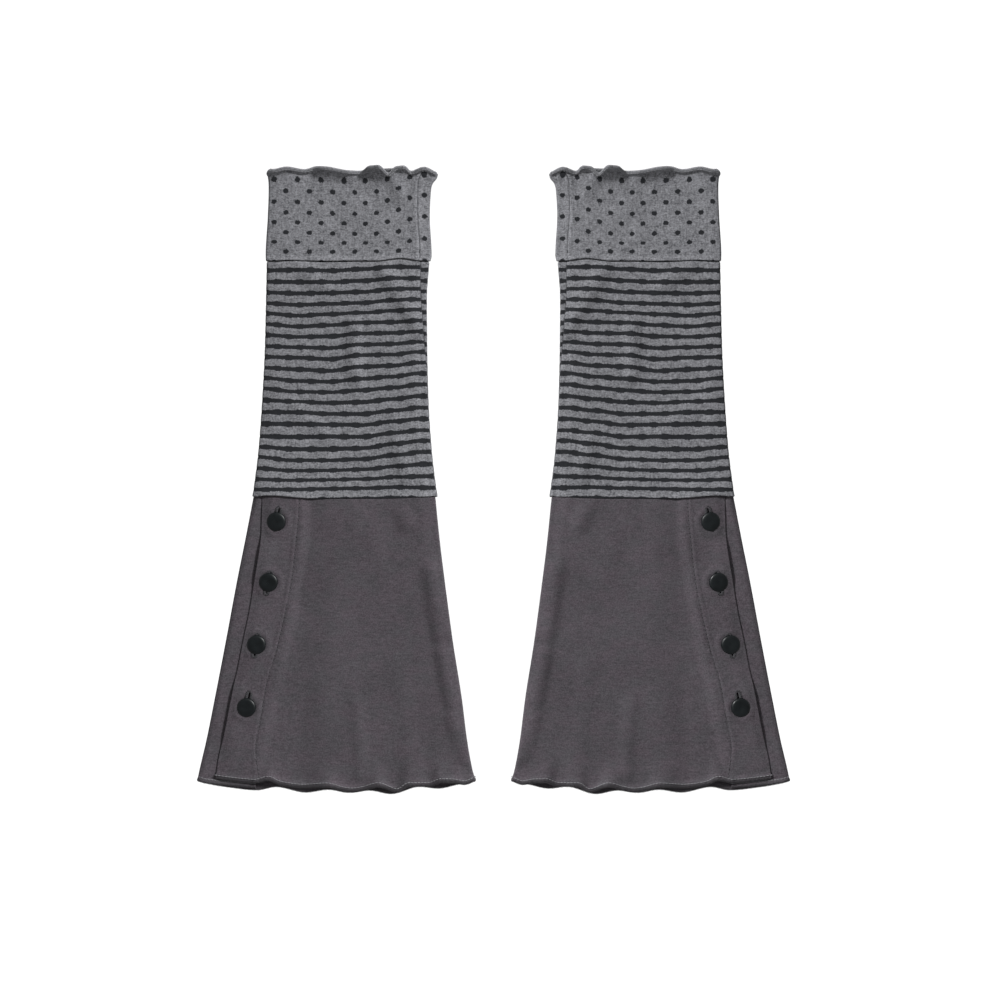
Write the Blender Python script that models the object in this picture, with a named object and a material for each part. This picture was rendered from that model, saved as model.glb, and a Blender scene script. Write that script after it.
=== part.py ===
"""A pair of knitted leg warmers with flared, buttoned hems, laid flat side by side.

Each leg warmer is sewn from a dotted cuff band, a striped leg tube, a flared front panel whose
edge is turned under as a buttonhole placket, and a flared back panel that folds round one side
and comes back as the underlap for the buttons. Four shank buttons close the placket. The top and
the hem are stretched and overlocked, so their edges ripple. The right one mirrors the left one.

World frame: metres, +Z up, floor at z = 0, cuffs towards +Y, origin on the floor under the middle
of the pair. A leg warmer is worked out in millimetres in a frame of its own first: x across it
from the middle of the tube, height along it from the hem line, z up from the floor.
"""

import math
from collections import namedtuple

import bmesh
import bpy
import numpy as np

MM = 0.001

# Lengths along the garment: its seams, and its free edges where they meet the sides
WAIST = 211.0
CUFF_SEAM = 384.5
CUFF_TOP = 450.2
HEM = 2.5

# Cloth and the way that its layers lie on each other
CLOTH = 1.2
PLACKET_CLOTH = 2.0
EDGE_ROLL = 0.5
EDGE_ROLL_REACH = 2.5
ROLL_RAISE = 1.6
SEAM_GAP = 0.3
LAYER_GAP = 0.4
LOFT = 0.9
BACK_LEVEL = CLOTH / 2
FRONT_LEVEL = BACK_LEVEL + CLOTH + LOFT
UNDERLAP_LEVEL = BACK_LEVEL + CLOTH + LAYER_GAP
FLAP_TOP = UNDERLAP_LEVEL + CLOTH / 2 + LAYER_GAP + PLACKET_CLOTH

# Placket and buttons
PLACKET_WIDTH = 28.0
PLACKET_SLOPE = 14.0
PLACKET_STEP = 2.0
UNDERLAP_SETBACK = 3.5
BUTTON_DIAMETER = 14.0
BUTTON_HEIGHT = 3.4
BUTTON_BEVEL = 0.9
SHANK_DIAMETER = 2.2
BUTTONHOLE_LENGTH = 17.0
BUTTONHOLE_WIDTH = 2.9
BUTTONHOLE_LEAN = math.radians(12)

# Placing of the pair
LEG_OFFSET = 108.4

# Mesh fineness
FOLD_STEPS = 4
SEAM_STEPS = 2
SLOT_END_STEPS = 6
BUTTON_SIDES = 16
SMOOTH_UP_TO = math.radians(50)
MERGE_WITHIN = 1e-6
TUBE_COLUMNS = 12
PLACKET_COLUMNS = 6
UNDERLAP_COLUMNS = 5
LEAST_COLUMN = 1.0
TUBE_ROWS = [0.0, 0.03, 0.16, 0.34, 0.55, 0.78, 1.0]
CUFF_ROWS = [0.0, 0.08, 0.4, 0.68, 0.85, 0.95, 1.0]
FLARE_ROWS = [0.0, 0.2, 0.4, 0.6, 0.76, 0.87, 0.94, 0.975, 0.99, 1.0]

Section = namedtuple("Section", "height left right")
FLARE_OUTLINE = [
    Section(2.5, -108.5, 94.9),
    Section(10.0, -107.0, 92.6),
    Section(32.3, -101.8, 88.5),
    Section(61.7, -95.9, 84.8),
    Section(105.8, -87.4, 77.9),
    Section(149.9, -79.2, 72.0),
    Section(179.3, -73.3, 68.4),
    Section(211.0, -67.2, 65.2),
]
TUBE_OUTLINE = [
    Section(211.0, -67.9, 66.8),
    Section(216.0, -67.2, 66.0),
    Section(245.5, -63.5, 62.5),
    Section(282.2, -60.8, 60.1),
    Section(319.0, -58.9, 59.2),
    Section(355.7, -58.0, 58.9),
    Section(384.5, -57.4, 60.8),
]
CUFF_OUTLINE = [
    Section(384.5, -58.0, 61.6),
    Section(388.5, -58.2, 62.4),
    Section(418.2, -56.6, 61.0),
    Section(438.0, -56.0, 62.0),
    Section(442.5, -56.1, 63.2),
    Section(447.5, -56.7, 66.6),
    Section(450.2, -57.3, 66.0),
]

Opening = namedtuple("Opening", "height edge")
OPENING_EDGE = [
    Opening(2.5, -95.7),
    Opening(17.4, -94.0),
    Opening(36.2, -90.4),
    Opening(54.9, -86.8),
    Opening(73.6, -83.2),
    Opening(106.3, -75.8),
    Opening(142.8, -68.6),
    Opening(186.0, -62.6),
    Opening(211.0, -61.6),
]

Button = namedtuple("Button", "x height hole_shift")
BUTTONS = [
    Button(-50.6, 192.9, 1.2),
    Button(-56.4, 148.5, -0.5),
    Button(-65.2, 102.9, -0.8),
    Button(-72.5, 56.8, 2.6),
]

Crest = namedtuple("Crest", "x height lift")
CUFF_FRONT_EDGE = [
    Crest(-57.0, 450.4, 0.0),
    Crest(-52.9, 451.1, 0.3),
    Crest(-42.6, 452.5, 0.6),
    Crest(-29.8, 450.7, 0.0),
    Crest(-21.3, 452.6, 0.7),
    Crest(-14.0, 452.2, 0.4),
    Crest(4.4, 449.4, 0.0),
    Crest(12.5, 449.7, 0.2),
    Crest(17.8, 452.6, 2.4),
    Crest(24.4, 452.9, 3.0),
    Crest(31.5, 447.6, 0.2),
    Crest(37.2, 452.5, 2.2),
    Crest(43.2, 453.0, 2.8),
    Crest(47.4, 449.4, 0.4),
    Crest(57.6, 452.2, 2.8),
    Crest(66.0, 448.9, 2.4),
]
CUFF_BACK_EDGE = [
    Crest(-57.0, 450.4, 0.0),
    Crest(-42.6, 452.3, 0.2),
    Crest(-29.8, 451.4, 0.0),
    Crest(-19.0, 452.9, 0.3),
    Crest(4.4, 450.0, 0.0),
    Crest(32.3, 452.2, 0.5),
    Crest(43.0, 452.4, 0.3),
    Crest(48.5, 450.2, 0.0),
    Crest(57.3, 451.6, 0.6),
    Crest(66.0, 448.9, 0.2),
]
HEM_FRONT_EDGE = [
    Crest(-95.7, 4.4, 0.0),
    Crest(-81.6, 1.8, 0.0),
    Crest(-65.4, 0.2, 0.3),
    Crest(-56.4, 3.4, 3.2),
    Crest(-47.8, -0.4, 0.6),
    Crest(-30.9, -2.6, 0.0),
    Crest(-13.2, -1.3, 2.4),
    Crest(-2.2, -4.3, 0.3),
    Crest(5.1, -5.3, 0.0),
    Crest(13.2, -4.0, 0.3),
    Crest(24.3, -1.1, 3.0),
    Crest(33.1, -4.3, 0.6),
    Crest(38.2, -5.8, 0.0),
    Crest(46.7, -1.2, 1.0),
    Crest(61.7, -1.0, 0.2),
    Crest(71.0, 2.0, 3.2),
    Crest(80.1, 1.5, 1.6),
    Crest(87.5, 0.1, 0.0),
    Crest(94.9, 2.5, 0.0),
]
HEM_BACK_EDGE = [
    Crest(-108.5, 2.6, 0.0),
    Crest(-102.9, 0.7, 0.0),
    Crest(-85.3, -2.3, 0.0),
    Crest(-65.2, -4.3, 0.0),
    Crest(-51.4, -1.8, 0.9),
    Crest(-29.4, -6.0, 0.0),
    Crest(-12.9, -3.8, 0.9),
    Crest(2.2, -6.2, 0.0),
    Crest(17.4, -4.4, 0.9),
    Crest(33.1, -7.1, 0.0),
    Crest(54.4, -1.6, 1.1),
    Crest(67.6, -3.1, 0.0),
    Crest(82.0, -0.1, 0.9),
    Crest(94.9, 2.5, 0.0),
]
HEM_UNDERLAP_EDGE = [
    Crest(-108.5, 2.6, 0.0),
    Crest(-102.9, 1.0, 0.0),
    Crest(-85.3, -1.0, 0.0),
    Crest(-65.2, -2.6, 0.0),
]
RIPPLE_REACH = 24.0

Fold = namedtuple("Fold", "foot_x foot_height head_x head_height half_width lift")
FLARE_FRONT_FOLDS = [
    Fold(90.5, 0.0, 56.0, 211.0, 9.0, 1.0),
    Fold(-30.0, 22.0, -22.0, 90.0, 14.0, 0.7),
    Fold(7.0, 10.0, 3.0, 80.0, 11.0, 0.8),
    Fold(48.0, 10.0, 38.0, 100.0, 13.0, 0.6),
]
TUBE_FRONT_FOLDS = [
    Fold(-51.0, 211.0, -48.0, 236.0, 24.0, 1.3),
    Fold(-20.0, 262.0, 24.0, 282.0, 12.0, 0.6),
    Fold(-30.0, 318.0, 14.0, 334.0, 12.0, 0.6),
]
CUFF_FRONT_FOLDS = [
    Fold(2.0, 425.0, 26.0, 447.0, 9.0, 0.8),
    Fold(-36.0, 396.0, -20.0, 420.0, 12.0, 0.5),
]

Colour = namedtuple("Colour", "red green blue")
MELANGE_GREY = Colour(0.17, 0.175, 0.185)
CHARCOAL = Colour(0.08, 0.072, 0.082)
BLACK = Colour(0.012, 0.013, 0.013)


def clear_scene():
    for obj in list(bpy.data.objects):
        bpy.data.objects.remove(obj, do_unlink=True)


def material(name, colour, roughness):
    made = bpy.data.materials.new(name)
    made.use_nodes = True
    shader = made.node_tree.nodes["Principled BSDF"]
    shader.inputs["Base Color"].default_value = (*colour, 1.0)
    shader.inputs["Roughness"].default_value = roughness
    shader.inputs["Metallic"].default_value = 0.0
    return made


def smooth_step(share):
    share = min(max(share, 0.0), 1.0)
    return share * share * (3 - 2 * share)


def hump(distance, half_width):
    """1 in the middle, falling smoothly to 0 at half_width."""
    return math.cos(min(abs(distance) / half_width, 1.0) * math.pi / 2) ** 2


def along(stops, values, place):
    """A smooth curve through a table's values, which turns only at its own highs and lows."""
    steps = np.diff(values) / np.diff(stops)
    slopes = np.array([steps[0], *steps[1:], steps[-1]])
    for k in range(1, len(values) - 1):
        before, after = steps[k - 1], steps[k]
        turns = before * after <= 0
        slopes[k] = 0.0 if turns else 2 * before * after / (before + after)
    k = int(np.clip(np.searchsorted(stops, place) - 1, 0, len(stops) - 2))
    step = stops[k + 1] - stops[k]
    t = min(max((place - stops[k]) / step, 0.0), 1.0)
    return float(
        values[k] * (1 + 2 * t) * (1 - t) ** 2
        + values[k + 1] * t * t * (3 - 2 * t)
        + step * (slopes[k] * t * (1 - t) ** 2 - slopes[k + 1] * t * t * (1 - t))
    )


def outline_at(outline, height):
    """The left and right edge of a piece at one height."""
    heights = [s.height for s in outline]
    left = along(heights, [s.left for s in outline], height)
    right = along(heights, [s.right for s in outline], height)
    return left, right


def opening_at(height):
    """The edge of the buttoned flap at one height."""
    return along([o.height for o in OPENING_EDGE], [o.edge for o in OPENING_EDGE], height)


def edge_height(edge, x):
    """How high up the leg warmer a rippled edge lies at x."""
    return along([c.x for c in edge], [c.height for c in edge], x)


def edge_lift(edge, x):
    """How far a rippled edge stands off the layer under it at x."""
    return along([c.x for c in edge], [c.lift for c in edge], x)


def fade(distance):
    """How much of a ripple's lift is left at a distance from the free edge."""
    return max(1.0 - distance / RIPPLE_REACH, 0.0) ** 2


def fold_lift(folds, x, height):
    """How far the soft folds lift the cloth at a point: each is a ridge along a line."""
    total = 0.0
    for f in folds:
        run = np.array([f.head_x - f.foot_x, f.head_height - f.foot_height])
        reach = np.array([x - f.foot_x, height - f.foot_height])
        t = min(max(float(reach @ run / (run @ run)), 0.0), 1.0)
        total += f.lift * hump(float(np.linalg.norm(reach - t * run)), f.half_width)
    return total


def edge_cloth(distance):
    """The wall's thickness, which grows into the overlocked roll at the free edge."""
    return CLOTH + EDGE_ROLL * smooth_step(1 - distance / EDGE_ROLL_REACH)


def wall_mesh(name, middle, cloth, closed):
    """A closed wall round a grid of points on the cloth's middle.

    middle is columns by rows by xyz and cloth holds the thickness at each point. A closed grid
    joins its last column to its first one.
    """
    if closed:
        across = np.roll(middle, -1, axis=0) - np.roll(middle, 1, axis=0)
    else:
        across = np.gradient(middle, axis=0, edge_order=2)
    normal = np.cross(across, np.gradient(middle, axis=1))
    normal /= np.linalg.norm(normal, axis=2, keepdims=True)
    half = normal * cloth[:, :, None] / 2
    columns, rows = middle.shape[:2]
    points = np.concatenate([(middle + half).reshape(-1, 3), (middle - half).reshape(-1, 3)])
    front = np.arange(columns * rows).reshape(columns, rows)
    back = front + columns * rows
    faces = []
    for i in range(columns if closed else columns - 1):
        n = (i + 1) % columns
        for j in range(rows - 1):
            faces.append((front[i, j], front[n, j], front[n, j + 1], front[i, j + 1]))
            faces.append((back[i, j + 1], back[n, j + 1], back[n, j], back[i, j]))
        for j in (0, rows - 1):
            faces.append((front[i, j], back[i, j], back[n, j], front[n, j]))
    if not closed:
        for i in (0, columns - 1):
            for j in range(rows - 1):
                faces.append((front[i, j], front[i, j + 1], back[i, j + 1], back[i, j]))
    return solid_mesh(name, points, faces)


def solid_mesh(name, points, faces):
    """A mesh in metres, from points in millimetres."""
    mesh = bpy.data.meshes.new(name)
    mesh.from_pydata((points * MM).tolist(), [], [tuple(map(int, face)) for face in faces])
    shape = bmesh.new()
    shape.from_mesh(mesh)
    return finished_mesh(mesh, shape)


def finished_mesh(mesh, shape):
    """Writes a closed shape into its mesh, with its faces pointing out."""
    bmesh.ops.recalc_face_normals(shape, faces=shape.faces)
    shape.to_mesh(mesh)
    shape.free()
    mesh.shade_smooth()
    mesh.set_sharp_from_angle(angle=SMOOTH_UP_TO)
    return mesh


def add_place(hand_name, hand):
    """The empty that carries one leg warmer. hand -1 mirrors what it carries."""
    place = bpy.data.objects.new("leg_warmer_" + hand_name, None)
    bpy.context.scene.collection.objects.link(place)
    place.location.x = -hand * LEG_OFFSET * MM
    place.scale.x = hand
    return place


def add_piece(name, mesh, finish, place):
    """Puts a piece into the scene on its leg warmer's empty."""
    obj = bpy.data.objects.new(name, mesh)
    bpy.context.scene.collection.objects.link(obj)
    mesh.materials.append(finish)
    obj.parent = place
    return obj


def centre_along_y(place):
    """Slides a leg warmer along y until the middle of its pieces lies on y = 0."""
    heights = [v.co.y for obj in place.children for v in obj.data.vertices]
    place.location.y = -(min(heights) + max(heights)) / 2


def arc(centre_x, low, high, side, start, end, steps):
    """Points (x, z, up) round a side fold between the lower layer and the upper one.

    side is -1 for the left fold and 1 for the right one, angles run from -90 degrees on the
    lower layer to 90 on the upper one, and up says how far up a point is, from 0 to 1.
    """
    radius = (high - low) / 2
    points = []
    for k in range(steps + 1):
        angle = math.radians(start + (end - start) * k / steps)
        up = (1 + math.sin(angle)) / 2
        points.append((centre_x + side * radius * math.cos(angle), low + (high - low) * up, up))
    return points


def layer(first, last, shares, level, up):
    """Points (x, z, up) of a flat layer: shares are its columns' places from first to last."""
    return [(first + (last - first) * share, level, up) for share in shares]


def crest_columns(edge, first, last):
    """Shares from first to last for a layer's columns.

    They stand on each crest and hollow of the layer's free edge, and halfway between.
    """
    low, high = sorted((first, last))
    inner = [c.x for c in edge if low + LEAST_COLUMN < c.x < high - LEAST_COLUMN]
    stops = [low, *inner, high]
    stops += [(a + b) / 2 for a, b in zip(stops, stops[1:])]
    return sorted((x - first) / (last - first) for x in stops)


def flat_ring(outline, height, back_columns, front_columns):
    """One section of a flattened tube, from the back's left end all round."""
    left, right = outline_at(outline, height)
    radius = (FRONT_LEVEL - BACK_LEVEL) / 2
    low_x, high_x = left + radius, right - radius
    return (
        layer(low_x, high_x, back_columns, BACK_LEVEL, 0.0)
        + arc(high_x, BACK_LEVEL, FRONT_LEVEL, 1, -90, 90, FOLD_STEPS)[1:-1]
        + layer(high_x, low_x, front_columns, FRONT_LEVEL, 1.0)
        + arc(low_x, BACK_LEVEL, FRONT_LEVEL, -1, 90, -90, FOLD_STEPS)[1:-1]
    )


def columns_by_rows(rows):
    """Turns rows of points, or of thicknesses, into the grid that wall_mesh reads."""
    return np.swapaxes(np.array(rows), 0, 1)


def leg_tube_mesh():
    """The striped tube: a plain flattened ring between its two seams."""
    top = CUFF_SEAM - SEAM_GAP
    columns = np.linspace(0, 1, TUBE_COLUMNS + 1)
    rows = []
    for share in TUBE_ROWS:
        height = WAIST + (top - WAIST) * share
        ring = flat_ring(TUBE_OUTLINE, height, columns, columns)
        folds = [up * fold_lift(TUBE_FRONT_FOLDS, x, height) for x, _, up in ring]
        rows.append([(x, height, z + fold) for (x, z, _), fold in zip(ring, folds)])
    middle = columns_by_rows(rows)
    return wall_mesh("leg_tube", middle, np.full(middle.shape[:2], CLOTH), closed=True)


def cuff_mesh():
    """The dotted band: a flattened ring whose top edge ripples and rolls."""
    left, right = outline_at(CUFF_OUTLINE, CUFF_TOP)
    back_columns = crest_columns(CUFF_BACK_EDGE, left, right)
    front_columns = crest_columns(CUFF_FRONT_EDGE, right, left)
    top_ring = flat_ring(CUFF_OUTLINE, CUFF_TOP, back_columns, front_columns)
    rows, cloth = [], []
    for share in CUFF_ROWS:
        nominal = CUFF_SEAM + (CUFF_TOP - CUFF_SEAM) * share
        ring = flat_ring(CUFF_OUTLINE, nominal, back_columns, front_columns)
        row, thickness = [], []
        for (x, z, up), (top_x, _, _) in zip(ring, top_ring):
            back_top = edge_height(CUFF_BACK_EDGE, top_x)
            top = back_top + up * (edge_height(CUFF_FRONT_EDGE, top_x) - back_top)
            height = CUFF_SEAM + (top - CUFF_SEAM) * share
            lift = edge_lift(CUFF_BACK_EDGE, top_x) + up * edge_lift(CUFF_FRONT_EDGE, top_x)
            raised = fade(top - height) * lift + up * fold_lift(CUFF_FRONT_FOLDS, x, height)
            roll = edge_cloth(top - height) - CLOTH
            row.append((x, height, z + raised + roll / 2 + up * roll))
            thickness.append(CLOTH + roll)
        rows.append(row)
        cloth.append(thickness)
    return wall_mesh("cuff", columns_by_rows(rows), columns_by_rows(cloth), closed=True)


def side_seam(right, start, end):
    """One panel's share of the rounded side seam, between two angles round the side."""
    radius = (FRONT_LEVEL - BACK_LEVEL) / 2
    return arc(right - radius, BACK_LEVEL, FRONT_LEVEL, 1, start, end, SEAM_STEPS)


def seam_angle():
    """The angle from the middle of the side seam to the start of each panel."""
    return math.degrees(SEAM_GAP / (FRONT_LEVEL - BACK_LEVEL))


def back_section(height, columns):
    """One section of the back panel: side seam, back layer, side fold and underlap."""
    left, right = outline_at(FLARE_OUTLINE, height)
    seam = side_seam(right, -seam_angle(), -90)
    fold_x = left + (UNDERLAP_LEVEL - BACK_LEVEL) / 2
    underlap_end = opening_at(height) + PLACKET_WIDTH - UNDERLAP_SETBACK
    underlap_columns = np.linspace(0, 1, UNDERLAP_COLUMNS + 1)
    return (
        seam[:-1]
        + layer(seam[-1][0], fold_x, columns, BACK_LEVEL, 0.0)
        + arc(fold_x, BACK_LEVEL, UNDERLAP_LEVEL, -1, -90, 90, FOLD_STEPS)[1:-1]
        + layer(fold_x, underlap_end, underlap_columns, UNDERLAP_LEVEL, 1.0)
    )


def flare_back_mesh():
    """The back panel, which folds round the side and returns as the underlap."""
    waist = WAIST - SEAM_GAP
    left, right = outline_at(FLARE_OUTLINE, HEM)
    columns = crest_columns(HEM_BACK_EDGE, right, left)
    hem_section = back_section(HEM, columns)
    rows, cloth = [], []
    for share in FLARE_ROWS:
        section = back_section(waist + (HEM - waist) * share, columns)
        row, thickness = [], []
        for (x, z, up), (hem_x, _, _) in zip(section, hem_section):
            underlap = up > 0 and x < 0
            edge = HEM_UNDERLAP_EDGE if underlap else HEM_BACK_EDGE
            foot = edge_height(edge, hem_x)
            height = waist + (foot - waist) * share
            wall = CLOTH if underlap else edge_cloth(height - foot)
            lift = fade(height - foot) * edge_lift(edge, hem_x)
            row.append((x, height, z + (wall - CLOTH) / 2 + lift))
            thickness.append(wall)
        rows.append(row)
        cloth.append(thickness)
    return wall_mesh(
        "flare_back", columns_by_rows(rows), columns_by_rows(cloth), closed=False
    )


def front_section(height, columns):
    """One section of the front panel: side seam, front layer and placket."""
    _, right = outline_at(FLARE_OUTLINE, height)
    opening = opening_at(height)
    seam = side_seam(right, seam_angle(), 90)
    past_stitch = opening + PLACKET_WIDTH + PLACKET_STEP / 2
    placket_columns = np.linspace(0, 1, PLACKET_COLUMNS + 1)
    return (
        seam[:-1]
        + layer(seam[-1][0], past_stitch, columns, FRONT_LEVEL, 1.0)
        + layer(past_stitch - PLACKET_STEP, opening, placket_columns, FRONT_LEVEL, 1.0)
    )


def front_wall(x, opening):
    """The top level and the thickness of the front panel: thin cloth, and a doubled placket."""
    past = x - opening - PLACKET_WIDTH
    plain_top = FRONT_LEVEL + CLOTH / 2
    top = FLAP_TOP + (plain_top - FLAP_TOP) * smooth_step(past / PLACKET_SLOPE)
    doubled = smooth_step(0.5 - past / PLACKET_STEP)
    return top, CLOTH + (PLACKET_CLOTH - CLOTH) * doubled


def flare_front_mesh():
    """The front panel, which lies on the back one and, at its placket, on the underlap."""
    waist = WAIST - SEAM_GAP
    _, right = outline_at(FLARE_OUTLINE, HEM)
    columns = crest_columns(HEM_FRONT_EDGE, right, opening_at(HEM) + PLACKET_WIDTH)
    hem_section = front_section(HEM, columns)
    rows, cloth = [], []
    for share in FLARE_ROWS:
        nominal = waist + (HEM - waist) * share
        opening = opening_at(nominal)
        row, thickness = [], []
        for (x, z, up), (hem_x, _, _) in zip(front_section(nominal, columns), hem_section):
            foot = edge_height(HEM_FRONT_EDGE, hem_x)
            height = waist + (foot - waist) * share
            top, wall = front_wall(x, opening) if up == 1.0 else (z + CLOTH / 2, CLOTH)
            roll = edge_cloth(height - foot) - CLOTH
            lift = edge_lift(HEM_FRONT_EDGE, hem_x) + edge_lift(HEM_BACK_EDGE, hem_x)
            raised = fade(height - foot) * lift + fold_lift(FLARE_FRONT_FOLDS, x, height)
            row.append((x, height, top - wall / 2 + up * (raised + ROLL_RAISE * roll)))
            thickness.append(wall + roll)
        rows.append(row)
        cloth.append(thickness)
    return wall_mesh(
        "flare_front", columns_by_rows(rows), columns_by_rows(cloth), closed=False
    )


def slot_outline(button):
    """The outline of a button's hole, a leaning slot with round ends, as x and height."""
    sine, cosine = math.sin(BUTTONHOLE_LEAN), math.cos(BUTTONHOLE_LEAN)
    radius = BUTTONHOLE_WIDTH / 2
    straight = BUTTONHOLE_LENGTH / 2 - radius
    points = []
    for end in (1, -1):
        for k in range(SLOT_END_STEPS + 1):
            angle = math.pi * k / SLOT_END_STEPS
            across = end * radius * math.cos(angle)
            along_slot = end * (straight + radius * math.sin(angle)) + button.hole_shift
            x = button.x + across * cosine + along_slot * sine
            height = button.height - across * sine + along_slot * cosine
            points.append((x, height))
    return points


def buttonhole_cutter(hand_name, place):
    """A hidden cutter for all four buttonholes: upright slots through the placket."""
    shape = bmesh.new()
    for button in BUTTONS:
        outline = [
            shape.verts.new((x * MM, height * MM, UNDERLAP_LEVEL * MM))
            for x, height in slot_outline(button)
        ]
        raised = bmesh.ops.extrude_face_region(shape, geom=[shape.faces.new(outline)])
        tops = [v for v in raised["geom"] if isinstance(v, bmesh.types.BMVert)]
        bmesh.ops.translate(shape, verts=tops, vec=(0, 0, FLAP_TOP * MM))
    mesh = finished_mesh(bpy.data.meshes.new("buttonhole_cutter"), shape)
    cutter = bpy.data.objects.new("buttonhole_cutter_" + hand_name, mesh)
    bpy.context.scene.collection.objects.link(cutter)
    cutter.parent = place
    cutter.hide_render = True
    cutter.display_type = "WIRE"
    return cutter


def cut(obj, cutter):
    modifier = obj.modifiers.new("buttonholes", "BOOLEAN")
    modifier.operation = "DIFFERENCE"
    modifier.solver = "EXACT"
    modifier.object = cutter


def button_mesh(button):
    """A shank button: a bevelled cap on a thin shank, spun round its own axis."""
    foot = UNDERLAP_LEVEL + CLOTH / 2 + SEAM_GAP
    under = FLAP_TOP + SEAM_GAP
    top = under + BUTTON_HEIGHT
    radius = BUTTON_DIAMETER / 2
    profile = [
        (0.0, foot),
        (SHANK_DIAMETER / 2, foot),
        (SHANK_DIAMETER / 2, under),
        (radius - BUTTON_BEVEL, under),
        (radius, under + BUTTON_BEVEL),
        (radius, top - BUTTON_BEVEL),
        (radius - BUTTON_BEVEL, top),
        (0.0, top),
    ]
    centre = (button.x * MM, button.height * MM, 0.0)
    shape = bmesh.new()
    points = [shape.verts.new((centre[0] + r * MM, centre[1], z * MM)) for r, z in profile]
    edges = [shape.edges.new(pair) for pair in zip(points, points[1:])]
    bmesh.ops.spin(
        shape, geom=points + edges, cent=centre, axis=(0, 0, 1), angle=math.tau, steps=BUTTON_SIDES
    )
    bmesh.ops.remove_doubles(shape, verts=shape.verts, dist=MERGE_WITHIN)
    return finished_mesh(bpy.data.meshes.new("button"), shape)


def build_leg_warmer(hand_name, hand, finishes):
    """One leg warmer. hand is 1 for the left one and -1 for its mirror image."""
    place = add_place(hand_name, hand)
    add_piece("cuff_" + hand_name, cuff_mesh(), finishes["melange"], place)
    add_piece("leg_tube_" + hand_name, leg_tube_mesh(), finishes["melange"], place)
    add_piece("flare_back_" + hand_name, flare_back_mesh(), finishes["charcoal"], place)
    front = add_piece("flare_front_" + hand_name, flare_front_mesh(), finishes["charcoal"], place)
    cut(front, buttonhole_cutter(hand_name, place))
    for number, button in enumerate(BUTTONS, 1):
        name = f"button_{hand_name}_{number}"
        add_piece(name, button_mesh(button), finishes["black"], place)
    centre_along_y(place)


def main():
    clear_scene()
    finishes = {
        "melange": material("melange_knit", MELANGE_GREY, 0.92),
        "charcoal": material("charcoal_jersey", CHARCOAL, 0.9),
        "black": material("black_button", BLACK, 0.5),
    }
    build_leg_warmer("left", 1, finishes)
    build_leg_warmer("right", -1, finishes)


main()
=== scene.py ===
"""Looks of a pair of knitted leg warmers, laid flat side by side.

The file is laid out as a Blender add-on and runs as a script. Each leg warmer has a dotted cuff
band, a striped leg tube, a flared front panel with a buttonhole placket, a flared back panel that
comes round as the underlap, four shank buttons, and its sewing.

World frame: metres, +Z up, floor at z = 0, cuffs towards +Y. A leg warmer is worked out in
millimetres in a frame of its own first: x across it from the middle of the tube, height along it
from the hem line, z up from the floor. The right one mirrors the left one.
"""

import math
from collections import namedtuple

import bmesh
import bpy
import numpy as np
from mathutils import Matrix, Vector
from mathutils.bvhtree import BVHTree


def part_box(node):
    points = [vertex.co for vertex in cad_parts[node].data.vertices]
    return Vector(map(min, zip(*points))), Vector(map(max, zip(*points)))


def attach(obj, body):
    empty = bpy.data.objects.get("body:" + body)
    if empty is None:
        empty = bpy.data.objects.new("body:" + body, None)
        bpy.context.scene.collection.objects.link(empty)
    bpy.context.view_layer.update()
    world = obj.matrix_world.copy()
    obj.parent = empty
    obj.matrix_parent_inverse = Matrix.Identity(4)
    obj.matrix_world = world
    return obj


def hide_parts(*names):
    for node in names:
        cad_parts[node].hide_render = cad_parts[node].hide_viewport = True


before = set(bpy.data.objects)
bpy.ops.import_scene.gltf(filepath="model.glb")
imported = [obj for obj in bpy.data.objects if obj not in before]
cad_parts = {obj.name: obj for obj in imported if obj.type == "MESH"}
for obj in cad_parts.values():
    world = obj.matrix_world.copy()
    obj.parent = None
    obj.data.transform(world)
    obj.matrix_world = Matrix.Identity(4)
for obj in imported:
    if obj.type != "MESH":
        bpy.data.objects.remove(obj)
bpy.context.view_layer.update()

bl_info = {
    "name": "Leg Warmers",
    "version": (1, 0, 0),
    "blender": (4, 5, 0),
    "location": "3D View > Sidebar > Leg Warmers",
    "description": "A pair of knitted leg warmers with dotted cuffs, striped tubes and buttoned flares",
    "category": "Object",
}

MM = 0.001
HANDS = {"left": 1, "right": -1}
UP = (0.0, 0.0, 1.0)

# Lengths along the garment: its seams, and its free edges where they meet the sides
WAIST = 211.0
CUFF_SEAM = 384.5
CUFF_TOP = 450.2
HEM = 2.5

# Cloth and the way that its layers lie on each other
CLOTH = 1.2
PLACKET_CLOTH = 2.0
PRESSED_EDGE = 1.0
PRESSED_HEM = 0.6
PRESSED_REACH = 8.0
EDGE_ROLL = 0.5
EDGE_ROLL_REACH = 2.5
LAYER_GAP = 0.4
LOFT = 0.9
BACK_LEVEL = CLOTH / 2
FRONT_LEVEL = BACK_LEVEL + CLOTH + LOFT
UNDERLAP_LEVEL = BACK_LEVEL + CLOTH + LAYER_GAP
FLAP_TOP = UNDERLAP_LEVEL + CLOTH / 2 + LAYER_GAP + PLACKET_CLOTH

# Placket and buttons
PLACKET_WIDTH = 28.0
PLACKET_SLOPE = 9.0
PLACKET_STEP = 2.0
UNDERLAP_SETBACK = 2.5
BUTTON_HEIGHT = 3.4
SHOULDER_HEIGHT = 1.2
BUTTON_GAP = 0.3
SHANK_DIAMETER = 2.2
BUTTONHOLE_LEAN = math.radians(12)

# Placing of the pair
LEG_OFFSET = 108.4
MIDDLE_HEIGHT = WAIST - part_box("leg_tube_left")[0].y / MM

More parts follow.
